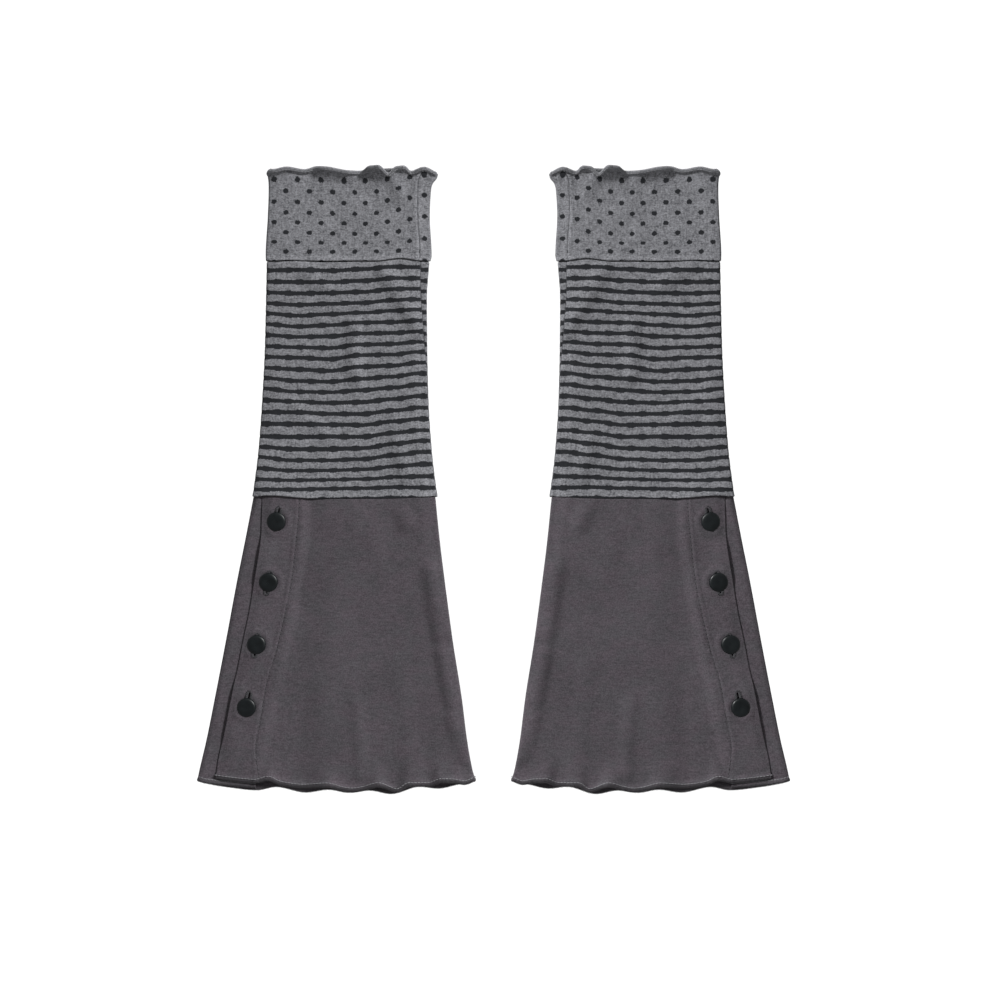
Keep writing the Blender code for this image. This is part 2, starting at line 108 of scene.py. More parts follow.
# Seams: how far the upper piece laps over the lower one, which tucks in under it
SEAM_LAP = 0.4
WAIST_TUCK = 2.2
WAIST_REACH = 1.6
TUCK_DEPTH = 0.8
TUCK_REACH = 2.6
TUCKED_SHARE = 0.4
EDGE_SHARE = 0.25
SMOOTH_UP_TO = math.radians(50)
FOLD_ANGLES = np.arange(0.0, 90.0, 22.5)
LEFT_FOLD_ANGLES = np.concatenate([FOLD_ANGLES[:0:-1], -FOLD_ANGLES])
SIDE_RADIUS = (FRONT_LEVEL - BACK_LEVEL) / 2
LAP_REACH = 4.0
CUFF_LAP_RISE = 1.1
TUBE_LAP_RISE = 0.35
WAIST_FADE = 20.0
SEAM_FADE = 14.0

# How the cloth's mesh is shared out: its stops near an edge, and the usual widths of its layers
END_STOPS = np.array([0.0, 0.1, 0.28, 0.55, 0.95, 1.5, 2.2, 2.9, 3.6, 4.4, 5.4])
FINE_STEP = 0.6
CUFF_FINE = 15.0
TUBE_FINE = 10.0
RING_BACK_COARSER = 1.5
FLARE_BACK_COARSER = 1.4
PLACKET_FINER = 0.8
UNDERLAP_SPAN = 37.0
BACK_SPAN = 190.0
FRONT_SPAN = 150.0
PLACKET_SPAN = 27.0

# Added to the distance from a free edge where the cloth has none
FAR_IN = 9.0

# Low ridges along a line, or valleys where the rise is below zero
Bump = namedtuple("Bump", "middle reach rise")
SEAM_WAVES = [Bump(40.0, 17.0, 1.8), Bump(-41.0, 11.0, 0.5), Bump(-12.0, 20.0, -0.2)]
SIDE_SEAM_RELIEF = [Bump(2.2, 1.3, 0.18), Bump(0.0, 0.8, -0.42)]
CUFF_TOP_RELIEF = [Bump(1.2, 1.9, 1.1), Bump(3.7, 1.3, -0.5)]
STRIPE_PUCKER = [Bump(0.0, 0.24, -0.22)]
FRONT_HEM_RELIEF = [Bump(2.8, 2.5, 1.3)]
BACK_HEM_RELIEF = [Bump(2.8, 2.5, 0.5)]
UNDERLAP_HEM_RELIEF = [Bump(1.8, 2.2, 0.8)]
STITCH_RELIEF = [Bump(-2.0, 1.8, 0.25), Bump(0.0, 1.2, -0.4)]
BUTTON_RELIEF = [Bump(9.2, 3.2, 0.7)]

# How the front swells up beside its folds
Puff = namedtuple("Puff", "inset reach rise")
RIGHT_PUFF = Puff(1.0, 10.0, 1.9)
LEFT_PUFF = Puff(1.0, 6.0, 0.4)

Section = namedtuple("Section", "height left right")
FLARE_OUTLINE = [
    Section(2.5, -108.5, 94.9), Section(10.0, -107.0, 92.6), Section(32.3, -101.8, 88.5),
    Section(61.7, -95.9, 84.8), Section(105.8, -87.4, 77.9), Section(149.9, -79.2, 72.0),
    Section(179.3, -73.3, 68.4), Section(211.0, -67.2, 65.2),
]
TUBE_OUTLINE = [
    Section(211.0, -67.9, 66.8), Section(216.0, -67.2, 66.0), Section(245.5, -63.5, 62.5),
    Section(282.2, -60.8, 60.1), Section(319.0, -58.9, 59.2), Section(355.7, -58.0, 58.9),
    Section(384.5, -57.4, 60.8),
]
CUFF_OUTLINE = [
    Section(384.5, -58.0, 61.6), Section(388.5, -58.2, 62.4), Section(418.2, -56.6, 61.0),
    Section(438.0, -56.0, 62.0), Section(442.5, -56.1, 63.2), Section(447.5, -56.7, 66.6),
    Section(450.2, -57.3, 66.0),
]

Opening = namedtuple("Opening", "height edge")
OPENING_EDGE = [
    Opening(2.5, -95.4), Opening(17.4, -93.3), Opening(36.2, -88.9), Opening(54.9, -85.3),
    Opening(73.6, -81.6), Opening(84.0, -79.2), Opening(106.3, -74.9), Opening(127.9, -70.4),
    Opening(142.8, -68.0), Opening(186.0, -61.9), Opening(211.0, -61.3),
]

Button = namedtuple("Button", "x height hole_shift")
BUTTONS = [
    Button(-50.6, 192.9, 2.4), Button(-56.4, 148.5, -0.5), Button(-65.2, 102.9, -0.8),
    Button(-72.5, 56.8, 3.4),
]

Crest = namedtuple("Crest", "x height lift")
CUFF_FRONT_EDGE = [
    Crest(-57.0, 448.9, 0.3), Crest(-55.3, 450.9, 1.0), Crest(-52.6, 450.7, 1.0),
    Crest(-42.6, 452.5, 0.6), Crest(-29.8, 450.7, 0.0), Crest(-21.3, 452.6, 0.7),
    Crest(-14.0, 452.2, 0.4), Crest(4.4, 449.4, 0.0), Crest(12.5, 449.7, 0.2), Crest(17.8, 452.6, 2.4),
    Crest(24.4, 452.9, 3.0), Crest(31.5, 447.6, 0.2), Crest(37.2, 452.5, 2.2), Crest(43.2, 453.0, 2.8),
    Crest(47.4, 449.4, 0.4), Crest(57.6, 452.2, 2.8), Crest(66.0, 448.9, 2.4),
]
CUFF_BACK_EDGE = [
    Crest(-57.0, 448.9, 0.0), Crest(-54.6, 450.6, 0.0), Crest(-42.6, 452.3, 0.2),
    Crest(-29.8, 451.4, 0.0), Crest(-19.0, 452.9, 0.3), Crest(4.4, 450.0, 0.0), Crest(32.3, 452.2, 0.5),
    Crest(43.0, 452.4, 0.3), Crest(48.5, 450.2, 0.0), Crest(57.3, 451.6, 0.6), Crest(66.0, 448.9, 0.2),
]
HEM_FRONT_EDGE = [
    Crest(-95.7, 4.4, 0.0), Crest(-81.6, 2.6, 0.0), Crest(-67.0, 1.3, 0.3), Crest(-56.4, 3.4, 3.8),
    Crest(-47.8, -0.4, 0.6), Crest(-30.9, -2.6, 0.0), Crest(-13.2, -1.3, 3.4), Crest(-2.2, -4.3, 0.3),
    Crest(5.1, -5.3, 0.0), Crest(13.2, -4.0, 0.3), Crest(24.3, -1.1, 4.0), Crest(33.1, -4.3, 0.6),
    Crest(38.2, -5.8, 0.0), Crest(46.7, -1.2, 2.0), Crest(61.7, -1.0, 0.2), Crest(71.0, 2.0, 4.0),
    Crest(80.1, 1.5, 1.6), Crest(87.5, 0.1, 0.0), Crest(94.9, 2.5, 0.0),
]
HEM_BACK_EDGE = [
    Crest(-108.5, 2.6, 0.0), Crest(-102.9, 0.7, 0.0), Crest(-85.3, -2.3, 0.0), Crest(-65.2, -4.3, 0.0),
    Crest(-51.4, -1.8, 0.9), Crest(-29.4, -6.0, 0.0), Crest(-12.9, -3.8, 0.9), Crest(2.2, -6.2, 0.0),
    Crest(17.4, -4.4, 0.9), Crest(33.1, -7.1, 0.0), Crest(54.4, -1.6, 1.1), Crest(67.6, -3.1, 0.0),
    Crest(82.0, -0.1, 0.9), Crest(94.9, 2.5, 0.0),
]
HEM_UNDERLAP_EDGE = [
    Crest(-108.5, 2.6, 0.0), Crest(-102.9, 1.0, 0.0), Crest(-85.3, -1.0, 0.0), Crest(-65.2, -2.6, 0.0),
]
RIPPLE_REACH = 24.0

# Soft folds: each is a ridge along a line, or a trough where its lift is below zero
Fold = namedtuple("Fold", "foot_x foot_height head_x head_height half_width lift")
FLARE_FRONT_FOLDS = [
    Fold(71.5, 112.0, 64.5, 156.0, 13.0, 2.8), Fold(79.5, 62.0, 72.5, 96.0, 11.0, 2.6),
    Fold(88.5, 20.0, 80.0, 50.0, 10.0, 2.2), Fold(45.0, 192.0, 37.0, 212.0, 11.0, 1.6),
    Fold(14.0, 206.0, 6.0, 190.0, 9.0, 0.6), Fold(12.0, 8.0, 8.0, 60.0, 9.0, 1.0),
    Fold(-24.0, 16.0, -16.0, 70.0, 14.0, 0.7), Fold(48.0, 14.0, 38.0, 90.0, 12.0, 0.6),
    Fold(28.0, 150.0, 20.0, 185.0, 12.0, 0.5), Fold(-66.0, 156.0, -63.0, 170.0, 15.0, 1.5),
    Fold(-87.5, 40.0, -82.0, 66.0, 15.0, 1.4), Fold(-36.0, 168.0, -33.0, 180.0, 8.0, 0.6),
    Fold(-47.0, 92.0, -40.0, 130.0, 7.0, 0.5),
]
TUBE_FRONT_FOLDS = [
    Fold(7.0, 300.0, 6.0, 338.0, 9.0, 2.0), Fold(56.0, 332.0, 28.0, 376.0, 10.0, 2.0),
    Fold(-14.0, 364.0, -34.0, 380.0, 9.0, 1.3), Fold(44.0, 226.0, 38.0, 252.0, 9.0, 1.6),
    Fold(-14.0, 254.0, -42.0, 280.0, 11.0, 1.0), Fold(-52.0, 262.0, -50.0, 300.0, 8.0, 0.8),
]
CUFF_FRONT_FOLDS = [
    Fold(-54.0, 452.0, -46.0, 452.0, 8.0, 2.2), Fold(-38.0, 453.0, -28.0, 451.0, 7.0, 1.2),
    Fold(-14.0, 453.0, 1.0, 451.0, 12.0, 4.8), Fold(20.0, 455.0, 27.0, 452.0, 13.0, 4.6),
    Fold(38.0, 454.0, 44.0, 453.0, 8.0, 1.6), Fold(33.0, 446.0, 40.0, 432.0, 8.0, 1.2),
    Fold(-36.0, 396.0, -20.0, 420.0, 12.0, 0.5), Fold(8.0, 425.0, 22.0, 412.0, 12.0, 0.5),
]

# Where the knitted pattern lies: the dots' columns across and rows upwards, the stripes' heights
DOT_COLUMNS = [-52.3, -35.1, -17.9, -1.0, 14.6, 30.7, 47.0]
DOT_ROWS = [382.9, 391.3, 398.0, 405.1, 412.6, 419.7, 427.6, 435.5, 443.7, 455.0]
DOT_COLUMN_STEP = 17.1

# How far the rows of dots rise towards the side seam
DotRise = namedtuple("DotRise", "height rise")
DOT_RISES = [
    DotRise(384.0, 0.4), DotRise(398.0, 0.7), DotRise(406.0, 1.2), DotRise(415.0, 2.4),
    DotRise(431.0, 2.9), DotRise(446.0, 1.6),
]
DOT_ROW_STEP = 7.5
STRIPES = [
    216.4, 223.9, 232.0, 240.3, 247.7, 255.3, 264.6, 273.1, 281.9, 290.5, 298.2,
    305.6, 313.6, 321.4, 329.7, 337.7, 345.5, 352.8, 360.8, 368.6, 377.0,
]
STRIPE_PITCH = 8.06
BEAD_STEP = 16.4
FIRST_BEAD = -41.7

# How far down the stripes sag across the tube, at shares of its width from the left
Sag = namedtuple("Sag", "height fifth two_fifths three_fifths four_fifths seam")
SAG_SHARES = [0.0, 0.2, 0.4, 0.6, 0.8, 0.95]
SAGS = [
    Sag(216.8, 0.0, -0.7, -1.2, -1.9, -1.3), Sag(239.8, 2.4, 2.5, 1.5, -1.5, -3.4),
    Sag(255.7, 0.4, 0.2, 0.4, -2.6, -4.6), Sag(273.5, 0.0, 1.4, 1.5, -1.3, -3.4),
    Sag(290.8, 2.5, 2.9, 1.2, -0.7, -3.0), Sag(313.6, 0.5, 1.6, -1.3, -1.8, -3.9),
    Sag(337.2, 1.9, 0.8, -1.0, -1.4, -2.4), Sag(353.2, 1.1, 0.4, -0.3, -2.3, -2.9),
    Sag(377.8, -0.4, 0.2, -1.0, -2.6, -2.4),
]

# The side seam's distance from the right edge, over the front, and the pattern's steps there
SeamPoint = namedtuple("SeamPoint", "height inset")
TUBE_SEAM = [
    SeamPoint(211.0, 0.4), SeamPoint(296.0, 0.4), SeamPoint(330.0, 2.6), SeamPoint(385.0, 6.6),
]
CUFF_SEAM_LINE = [
    SeamPoint(384.0, 8.6), SeamPoint(420.0, 9.0), SeamPoint(440.0, 9.8), SeamPoint(452.0, 12.5),
]
BEAD_STEP_AT_SEAM = 0.3
STRIPE_STEP = 0.22
DOT_STEP_DOWN = 0.24
DOT_STEP_ACROSS = 0.374
DOT_BACK_DRIFT = -0.4

# The placket's stitching line, from the hem up
Stitch = namedtuple("Stitch", "height x")
PLACKET_STITCHING = [
    Stitch(6.2, -63.6), Stitch(26.8, -65.9), Stitch(49.2, -62.2), Stitch(72.0, -58.4),
    Stitch(104.6, -49.0), Stitch(129.7, -43.4), Stitch(142.9, -40.6), Stitch(163.5, -37.8),
    Stitch(180.3, -36.0), Stitch(202.1, -34.0),
]

# Threads: the stations of one loop or stitch, by how far along it they lie and how high
LoopStation = namedtuple("LoopStation", "row along side")
OVERLOCK_LOOP = [
    LoopStation(6, -0.45, 1.0), LoopStation(4, -0.25, 1.25), LoopStation(1, -0.05, 1.15),
    LoopStation(0, 0.0, 0.0), LoopStation(1, 0.1, -1.1), LoopStation(4, 0.25, -1.15),
    LoopStation(6, 0.45, -1.0),
]
LOOP_LIFT = 0.25
LOOP_PAST_EDGE = 0.32
Station = namedtuple("Station", "off rise")
NEEDLE_STITCH = [Station(-0.46, -0.02), Station(-0.2, 0.2), Station(0.2, 0.2), Station(0.46, -0.02)]
TOPSTITCH = [Station(0.0, -0.12), Station(0.25, 0.12), Station(0.75, 0.12), Station(1.0, -0.12)]
NEEDLE_HOLE = [
    Station(-0.45, -0.05), Station(-0.15, 0.06), Station(0.15, 0.06), Station(0.45, -0.05),
]
SATIN_STITCH = [
    Station(0.0, -0.4), Station(0.12, 0.2), Station(0.5, 0.6), Station(0.88, 0.2),
    Station(1.0, -0.15),
]
NEEDLE_STEP = 2.4
STITCH_GAP = 0.6
STITCHING_FOOT = 5.0
STITCHING_HEAD = WAIST - 3.0
HOLE_SUNK = 0.13
HOLES_SINK_BELOW = 125.0
BORDER_OVERHANG = 0.25
THREAD_TAPER = 0.75
FLOOR_GAP = 0.02


def length(name, description, millimetres):
    """A setting that is a length."""
    return bpy.props.FloatProperty(
        name=name, description=description, default=millimetres * MM, unit="LENGTH",
    )


def number(name, description, value):
    return bpy.props.FloatProperty(name=name, description=description, default=value)


def tone(name, description, colour):
    return bpy.props.FloatVectorProperty(
        name=name, description=description, default=colour, size=3, min=0.0, max=1.0,
        subtype="COLOR",
    )


class ClothSizes(bpy.types.PropertyGroup):
    """Sizes of the cloth and of its knitted pattern."""

    column_step: length("Column step", "Width of the cloth mesh's faces", 1.6)
    row_step: length("Row step", "Height of the cloth mesh's faces", 1.7)
    dot_width: length("Dot width", "Width of one knitted dot", 4.2)
    dot_height: length("Dot height", "Height of one knitted dot", 3.4)
    stripe_height: length("Stripe height", "Height of a knitted stripe between its beads", 3.0)
    bead_height: length("Bead height", "Height of a knitted stripe at a bead", 4.1)


class SewingSizes(bpy.types.PropertyGroup):
    """Sizes of the threads and stitches."""

    loop_step: length("Loop step", "Distance between overlock loops along an edge", 0.95)
    thread_width: length("Thread width", "Width of one sewing thread", 0.5)
    topstitch_length: length("Topstitch length", "Length of one stitch of the placket's line", 2.5)
    hole_length: length("Buttonhole length", "Length of a buttonhole's slit", 16.0)
    hole_width: length("Buttonhole width", "Width of a buttonhole's slit", 1.6)
    hole_border: length("Buttonhole border", "Width of the satin border round a buttonhole", 1.9)


class ButtonSizes(bpy.types.PropertyGroup):
    """Sizes of the shank buttons."""

    diameter: length("Diameter", "Diameter of a button", 14.0)
    shoulder: length("Shoulder", "Width of the round shoulder", 2.2)
    dish: length("Dish", "Depth of the face inside its shoulder", 0.3)


class Colours(bpy.types.PropertyGroup):
    """Colours of the cloths, threads and buttons."""

    melange_light: tone("Melange light", "The pale fibres of the knit", (0.322, 0.324, 0.346))
    # The dark fibres' tone is also the colour of the painted shade in the knit's side seams.
    dark_fibres_and_seam_shade: tone("Melange dark", "The dark fibres of the knit", (0.060, 0.061, 0.067))
    # Knit black also colours the painted shade in the placket's needle holes.
    knit_black_and_hole_shade: tone("Knit black", "The dots and stripes", (0.0155, 0.0165, 0.019))
    charcoal: tone("Charcoal", "The jersey of the flare", (0.083, 0.071, 0.082))
    charcoal_cool: tone("Cool charcoal", "The jersey's cooler streaks", (0.075, 0.0695, 0.0775))
    charcoal_thread: tone("Charcoal thread", "The flare's sewing", (0.09, 0.086, 0.093))
    # The hems' needle thread is charcoal like the loops. Its pale tone is painted highlight, standing
    # in for the light on the crest of the hem's roll.
    pale_thread: tone("Pale thread", "The hem's needle stitches", (0.27, 0.27, 0.285))
    grey_thread: tone("Grey thread", "The cuff's sewing", (0.31, 0.312, 0.33))
    hole_thread: tone("Buttonhole thread", "The buttonholes' borders", (0.075, 0.074, 0.08))
    button: tone("Button", "The moulded buttons", (0.003, 0.0045, 0.0052))


class StageSizes(bpy.types.PropertyGroup):
    """The floor, the lights and the camera."""

    floor_size: length("Floor size", "Side of the floor", 6000.0)
    camera_height: length("Camera height", "Height of the camera over the floor", 1709.0)
    camera_x: length("Camera X", "The camera's place across the pair", -0.735)
    camera_y: length("Camera Y", "The camera's place along the pair", -8.9)
    key_across: number("Key across", "How far inwards the key lights stand", 0.66)
    key_along: number("Key along", "How far towards the cuffs the key lights stand", 0.52)
    key_up: number("Key up", "How high the key lights stand", 0.54)
    key_strength: number("Key strength", "Strength of each leg warmer's key light", 3.8)
    ground_strength: number("Ground strength", "Strength of the ground's own light", 2.9)
    sky_strength: number("Sky strength", "Strength of the even light from all round", 0.8)


def cloth_sizes():
    return bpy.context.scene.leg_warmer_cloth


def sewing_sizes():
    return bpy.context.scene.leg_warmer_sewing


def colours():
    return bpy.context.scene.leg_warmer_colours


# Curves through the tables

def smooth_step(share):
    share = np.clip(share, 0.0, 1.0)
    return share * share * (3 - 2 * share)


def rising(distance, reach):
    """0 up to a distance of 0, then growing smoothly to 1 at reach."""
    return smooth_step(distance / reach)


def falling(distance, reach):
    """1 up to a distance of 0, then falling smoothly to 0 at reach."""
    return smooth_step(1 - distance / reach)


def hump(distance, reach):
    """1 in the middle, falling smoothly to 0 at reach to both sides."""
    return np.cos(np.minimum(np.abs(distance) / reach, 1.0) * np.pi / 2) ** 2


def relief(bumps, distance):
    """The sum of a table's ridges and valleys at a distance."""
    return sum(b.rise * hump(distance - b.middle, b.reach) for b in bumps)


def along(stops, values, places):
    """A smooth curve through values at stops, which turns only at their own highs and lows."""
    stops, values = np.array(stops, float), np.array(values, float)
    steps = np.diff(values) / np.diff(stops)
    before, after = steps[:-1], steps[1:]
    turns = before * after <= 0
    inner = np.where(turns, 0.0, 2 * before * after / np.where(turns, 1.0, before + after))
    slopes = np.concatenate([steps[:1], inner, steps[-1:]])
    k = np.clip(np.searchsorted(stops, places) - 1, 0, len(stops) - 2)
    step = stops[k + 1] - stops[k]
    t = np.clip((places - stops[k]) / step, 0.0, 1.0)
    return (
        values[k] * (1 + 2 * t) * (1 - t) ** 2
        + values[k + 1] * t * t * (3 - 2 * t)
        + step * (slopes[k] * t * (1 - t) ** 2 - slopes[k + 1] * t * t * (1 - t))
    )


def read(table, stop, value, places):
    """One column of a table as a curve of another one."""
    return along([getattr(row, stop) for row in table], [getattr(row, value) for row in table], places)


def outline_at(outline, height):
    """The left and right edge of a piece at each height."""
    return read(outline, "height", "left", height), read(outline, "height", "right", height)


def edge_at(edge, x):
    """The height and the lift of a rippled edge at each x."""
    return read(edge, "x", "height", x), read(edge, "x", "lift", x)


def opening_at(height):
    return read(OPENING_EDGE, "height", "edge", height)


def stitch_line_x(height):
    return read(PLACKET_STITCHING, "height", "x", height)


def seam_inset(line, height):
    return read(line, "height", "inset", height)


def fade(distance):
    """How much of a ripple's lift is left at a distance from the free edge."""
    return np.clip(1.0 - distance / RIPPLE_REACH, 0.0, None) ** 2


def fold_lift(folds, x, height):
    """How far the soft folds lift the cloth at each point."""
    total = np.zeros_like(x)
    for f in folds:
        run_x, run_y = f.head_x - f.foot_x, f.head_height - f.foot_height
        reach_x, reach_y = x - f.foot_x, height - f.foot_height
        t = np.clip((reach_x * run_x + reach_y * run_y) / (run_x**2 + run_y**2), 0.0, 1.0)
        total += f.lift * hump(np.hypot(reach_x - t * run_x, reach_y - t * run_y), f.half_width)
    return total


def index_at(stops, step, places):
    """Where places fall between a table's stops, counted on evenly past its ends."""
    inside = np.interp(places, stops, np.arange(len(stops)))
    before = np.minimum(places - stops[0], 0.0) / step
    after = np.maximum(places - stops[-1], 0.0) / step
    return inside + before + after


def unit(vectors):
    return vectors / np.linalg.norm(vectors, axis=-1, keepdims=True)


# Grids of the cloth's middle, columns by rows

Sheet = namedtuple("Sheet", "middle cloth pattern seam closed")


def graded(low, high, step):
    """Stops from low to high, close together near both ends."""
    count = max(int(round((high - low - 2 * END_STOPS[-1]) / step)), 2)
    inner = np.linspace(low + END_STOPS[-1], high - END_STOPS[-1], count + 1)[1:-1]
    return np.concatenate([low + END_STOPS, inner, (high - END_STOPS)[::-1]])


def graded_shares(width, step):
    return graded(0.0, width, step) / width


def even_shares(width, step, fine=0.0):
    """Shares of a width for a layer's columns, finer over the first stretch."""
    count = max(int(round((width - fine) / step)), 2)
    first = np.arange(0.0, fine, FINE_STEP)
    return np.concatenate([first, np.linspace(fine, width, count + 1)]) / width


def layer(first, last, shares, level, up):
    """x, z and up of a flat layer's columns: first and last are its ends at each row."""
    x = first + (last - first) * shares[:, None]
    return np.stack([x, np.full_like(x, level), np.full_like(x, up)])


def arc(centre, low, high, side, angles):
    """x, z and up of the columns round a side fold. side is -1 for the left one."""
    angle = np.radians(angles)[:, None]
    up = (1 + np.sin(angle)) / 2 + 0 * centre
    x = centre + side * (high - low) / 2 * np.cos(angle)
    return np.stack([x, low + (high - low) * up, up])


def ring_section(outline, heights, fine):
    """A flattened ring at each row, from the right fold over the front and back under it."""
    step = cloth_sizes().column_step / MM
    left, right = outline_at(outline, heights)
    low_x, high_x = left + SIDE_RADIUS, right - SIDE_RADIUS
    width = float(np.mean(high_x - low_x))
    return np.concatenate([
        arc(high_x, BACK_LEVEL, FRONT_LEVEL, 1, FOLD_ANGLES),
        layer(high_x, low_x, even_shares(width, step, fine), FRONT_LEVEL, 1.0),
        arc(low_x, BACK_LEVEL, FRONT_LEVEL, -1, LEFT_FOLD_ANGLES),
        layer(low_x, high_x, even_shares(width, step * RING_BACK_COARSER), BACK_LEVEL, 0.0),
        arc(high_x, BACK_LEVEL, FRONT_LEVEL, 1, -FOLD_ANGLES[:0:-1]),
    ], axis=1)


def distance_round(x, z):
    """The distance round the ring from its first column, and the whole way round."""
    steps = np.hypot(np.diff(x, axis=0, append=x[:1]), np.diff(z, axis=0, append=z[:1]))
    return np.concatenate([np.zeros_like(x[:1]), np.cumsum(steps, axis=0)])


def outward(x, up):
    """The way out of a flattened ring at each point: across it, and up."""
    level = 2 * up - 1
    return np.sign(x) * np.sqrt(np.clip(1 - level**2, 0, 1)), level


def rounded(cloth, distance):
    """Thins a wall towards its edge, so that the edge comes out round."""
    reach = np.clip(distance / (cloth / 2), 0.0, 1.0)
    return cloth * (EDGE_SHARE + (1 - EDGE_SHARE) * np.sqrt(1 - (1 - reach) ** 2))


def tucked(x, z, up, cloth, inside):
    """Draws the cloth in under the piece above it. inside is 1 where it is wholly in."""
    out_x, out_z = outward(x, up)
    x = x - out_x * TUCK_DEPTH * inside
    z = z - out_z * TUCK_DEPTH * inside
    return x, z, cloth * (1 - (1 - TUCKED_SHARE) * inside)


def puff(x, outline, heights):
    """How the front layer swells up between its side folds, most of all near the right one."""
    left, right = outline_at(outline, heights)
    right_swell = RIGHT_PUFF.rise * rising(right - x - RIGHT_PUFF.inset, RIGHT_PUFF.reach)
    return right_swell - LEFT_PUFF.rise * falling(x - left - LEFT_PUFF.inset, LEFT_PUFF.reach)


def seam_wave(x, up):
    """How the seam between the cuff and the tube wanders up and down across the front."""
    return up * relief(SEAM_WAVES, x)


def waist_wave(x, up):
    """How the tube's lower edge sags between its two ends over the front."""
    left_end, right_end = rising(x + 57, 36), rising(66 - x, 36)
    corner = rising(-58 - x, 6)
    return up * (1.1 - 0.7 * corner - 2.4 * left_end * (0.35 + 0.65 * right_end))


def waist_lift(x, height):
    """How far the placket under the tube's lower edge lifts it."""
    return 1.5 * rising(x + 67, 7) * rising(-20 - x, 16) * falling(height - WAIST, WAIST_FADE)


def waist_tuck(x, up, height):
    """How far in under the tube's lower edge the flare is: 1 where it is wholly in."""
    return rising(height - WAIST - waist_wave(x, up) + SEAM_LAP, WAIST_REACH)


def cuff_sheet():
    """The dotted band: a flattened ring whose top edge ripples and rolls."""
    rows = graded(CUFF_SEAM - SEAM_LAP, CUFF_TOP, cloth_sizes().row_step / MM)
    x, z, up = ring_section(CUFF_OUTLINE, rows, CUFF_FINE)
    back_top, back_lift = edge_at(CUFF_BACK_EDGE, x[:, -1:])
    front_top, front_lift = edge_at(CUFF_FRONT_EDGE, x[:, -1:])
    top = back_top + up * (front_top - back_top)
    share = (rows - CUFF_SEAM) / (CUFF_TOP - CUFF_SEAM)
    height = CUFF_SEAM + (top - CUFF_SEAM) * share + seam_wave(x, up) * (1 - share) ** 4
    below = top - height
    around = distance_round(x, z)
    raised = fade(below) * (back_lift + up * front_lift)
    raised += up * (fold_lift(CUFF_FRONT_FOLDS, x, height) + puff(x, CUFF_OUTLINE, rows))
    raised += up * relief(CUFF_TOP_RELIEF, below) + EDGE_ROLL / 2 * falling(below, EDGE_ROLL_REACH)
    on_top = np.clip(outward(x, up)[1], 0, 1)
    raised += on_top * relief(SIDE_SEAM_RELIEF, around[:-1] - seam_inset(CUFF_SEAM_LINE, height))
    raised += on_top * CUFF_LAP_RISE * falling(rows - rows[0], LAP_REACH)
    middle = np.stack([x, height, z + raised], axis=-1)
    cloth = rounded(np.full_like(x, CLOTH), np.minimum(below, height - height[:, :1]))
    seam = around - seam_inset(CUFF_SEAM_LINE, rows)
    return Sheet(middle, cloth, dot_pattern(x, height, around), seam, True)


def tube_sheet():
    """The striped tube: a flattened ring, tucked in under the cuff and lapped over the flare."""
    rows = graded(WAIST, CUFF_SEAM + SEAM_LAP, cloth_sizes().row_step / MM)
    x, z, up = ring_section(TUBE_OUTLINE, rows, TUBE_FINE)
    height = rows + waist_wave(x, up) * falling(rows - WAIST, WAIST_FADE)
    height = height + seam_wave(x, up) * falling(CUFF_SEAM - rows, SEAM_FADE)
    around = distance_round(x, z)
    pattern = stripe_pattern(x, height, around)
    to_stripe = pattern[:-1, :, 1] - np.round(pattern[:-1, :, 1])
    out_x, out_z = outward(x, up)
    on_top = np.clip(out_z, 0, 1)
    raised = relief(STRIPE_PUCKER, to_stripe)
    raised += on_top * relief(SIDE_SEAM_RELIEF, around[:-1] - seam_inset(TUBE_SEAM, height))
    raised += on_top * TUBE_LAP_RISE * falling(rows - WAIST, LAP_REACH)
    x = x + out_x * raised
    z = z + out_z * raised
    z += up * (fold_lift(TUBE_FRONT_FOLDS, x, height) + waist_lift(x, height))
    z += up * puff(x, TUBE_OUTLINE, rows)
    cloth = rounded(np.full_like(x, CLOTH), np.minimum(rows - WAIST, rows[-1] - rows) + 0 * x)
    inside = rising(rows - CUFF_SEAM + TUCK_REACH - SEAM_LAP, TUCK_REACH)
    x, z, cloth = tucked(x, z, up, cloth, inside)
    seam = around - seam_inset(TUBE_SEAM, rows)
    return Sheet(np.stack([x, height, z], axis=-1), cloth, pattern, seam, True)


def unrolled(x, height, around):
    """Across the front and on round the back, the share of the back that is passed, and the height.

    Each has one column more than the ring, because the ring's first column is also its end."""
    first = len(FOLD_ANGLES)
    across = x[first:first + 1] + around[first:first + 1] - around
    half = around[-1:] / 2
    return across, np.clip((around - half) / half, 0.0, 1.0), np.concatenate([height, height[:1]])


def dot_pattern(x, height, around):
    """The knitted dots' column and row at each point: whole numbers lie on a dot's centre."""
    across, drift, height = unrolled(x, height, around)
    share = np.clip((across + 57) / 115, 0, 1)
    past_seam = rising(share - 0.93, 0.04)
    rise = read(DOT_RISES, "height", "rise", height) * rising(share - 0.6, 0.3)
    rise -= 1.4 * hump(share - 0.62, 0.42) * rising(height - 386, 18)
    rise -= 0.5 * hump(share - 0.3, 0.35)
    rise -= past_seam * (1.6 * rising(400 - height, 14) + 0.7 * rising(height - 436, 8))
    column = index_at(DOT_COLUMNS, DOT_COLUMN_STEP, across) + DOT_BACK_DRIFT * drift
    row = index_at(DOT_ROWS, DOT_ROW_STEP, height - rise * (1 - drift))
    return np.stack([column, row - DOT_STEP_DOWN * drift], axis=-1)


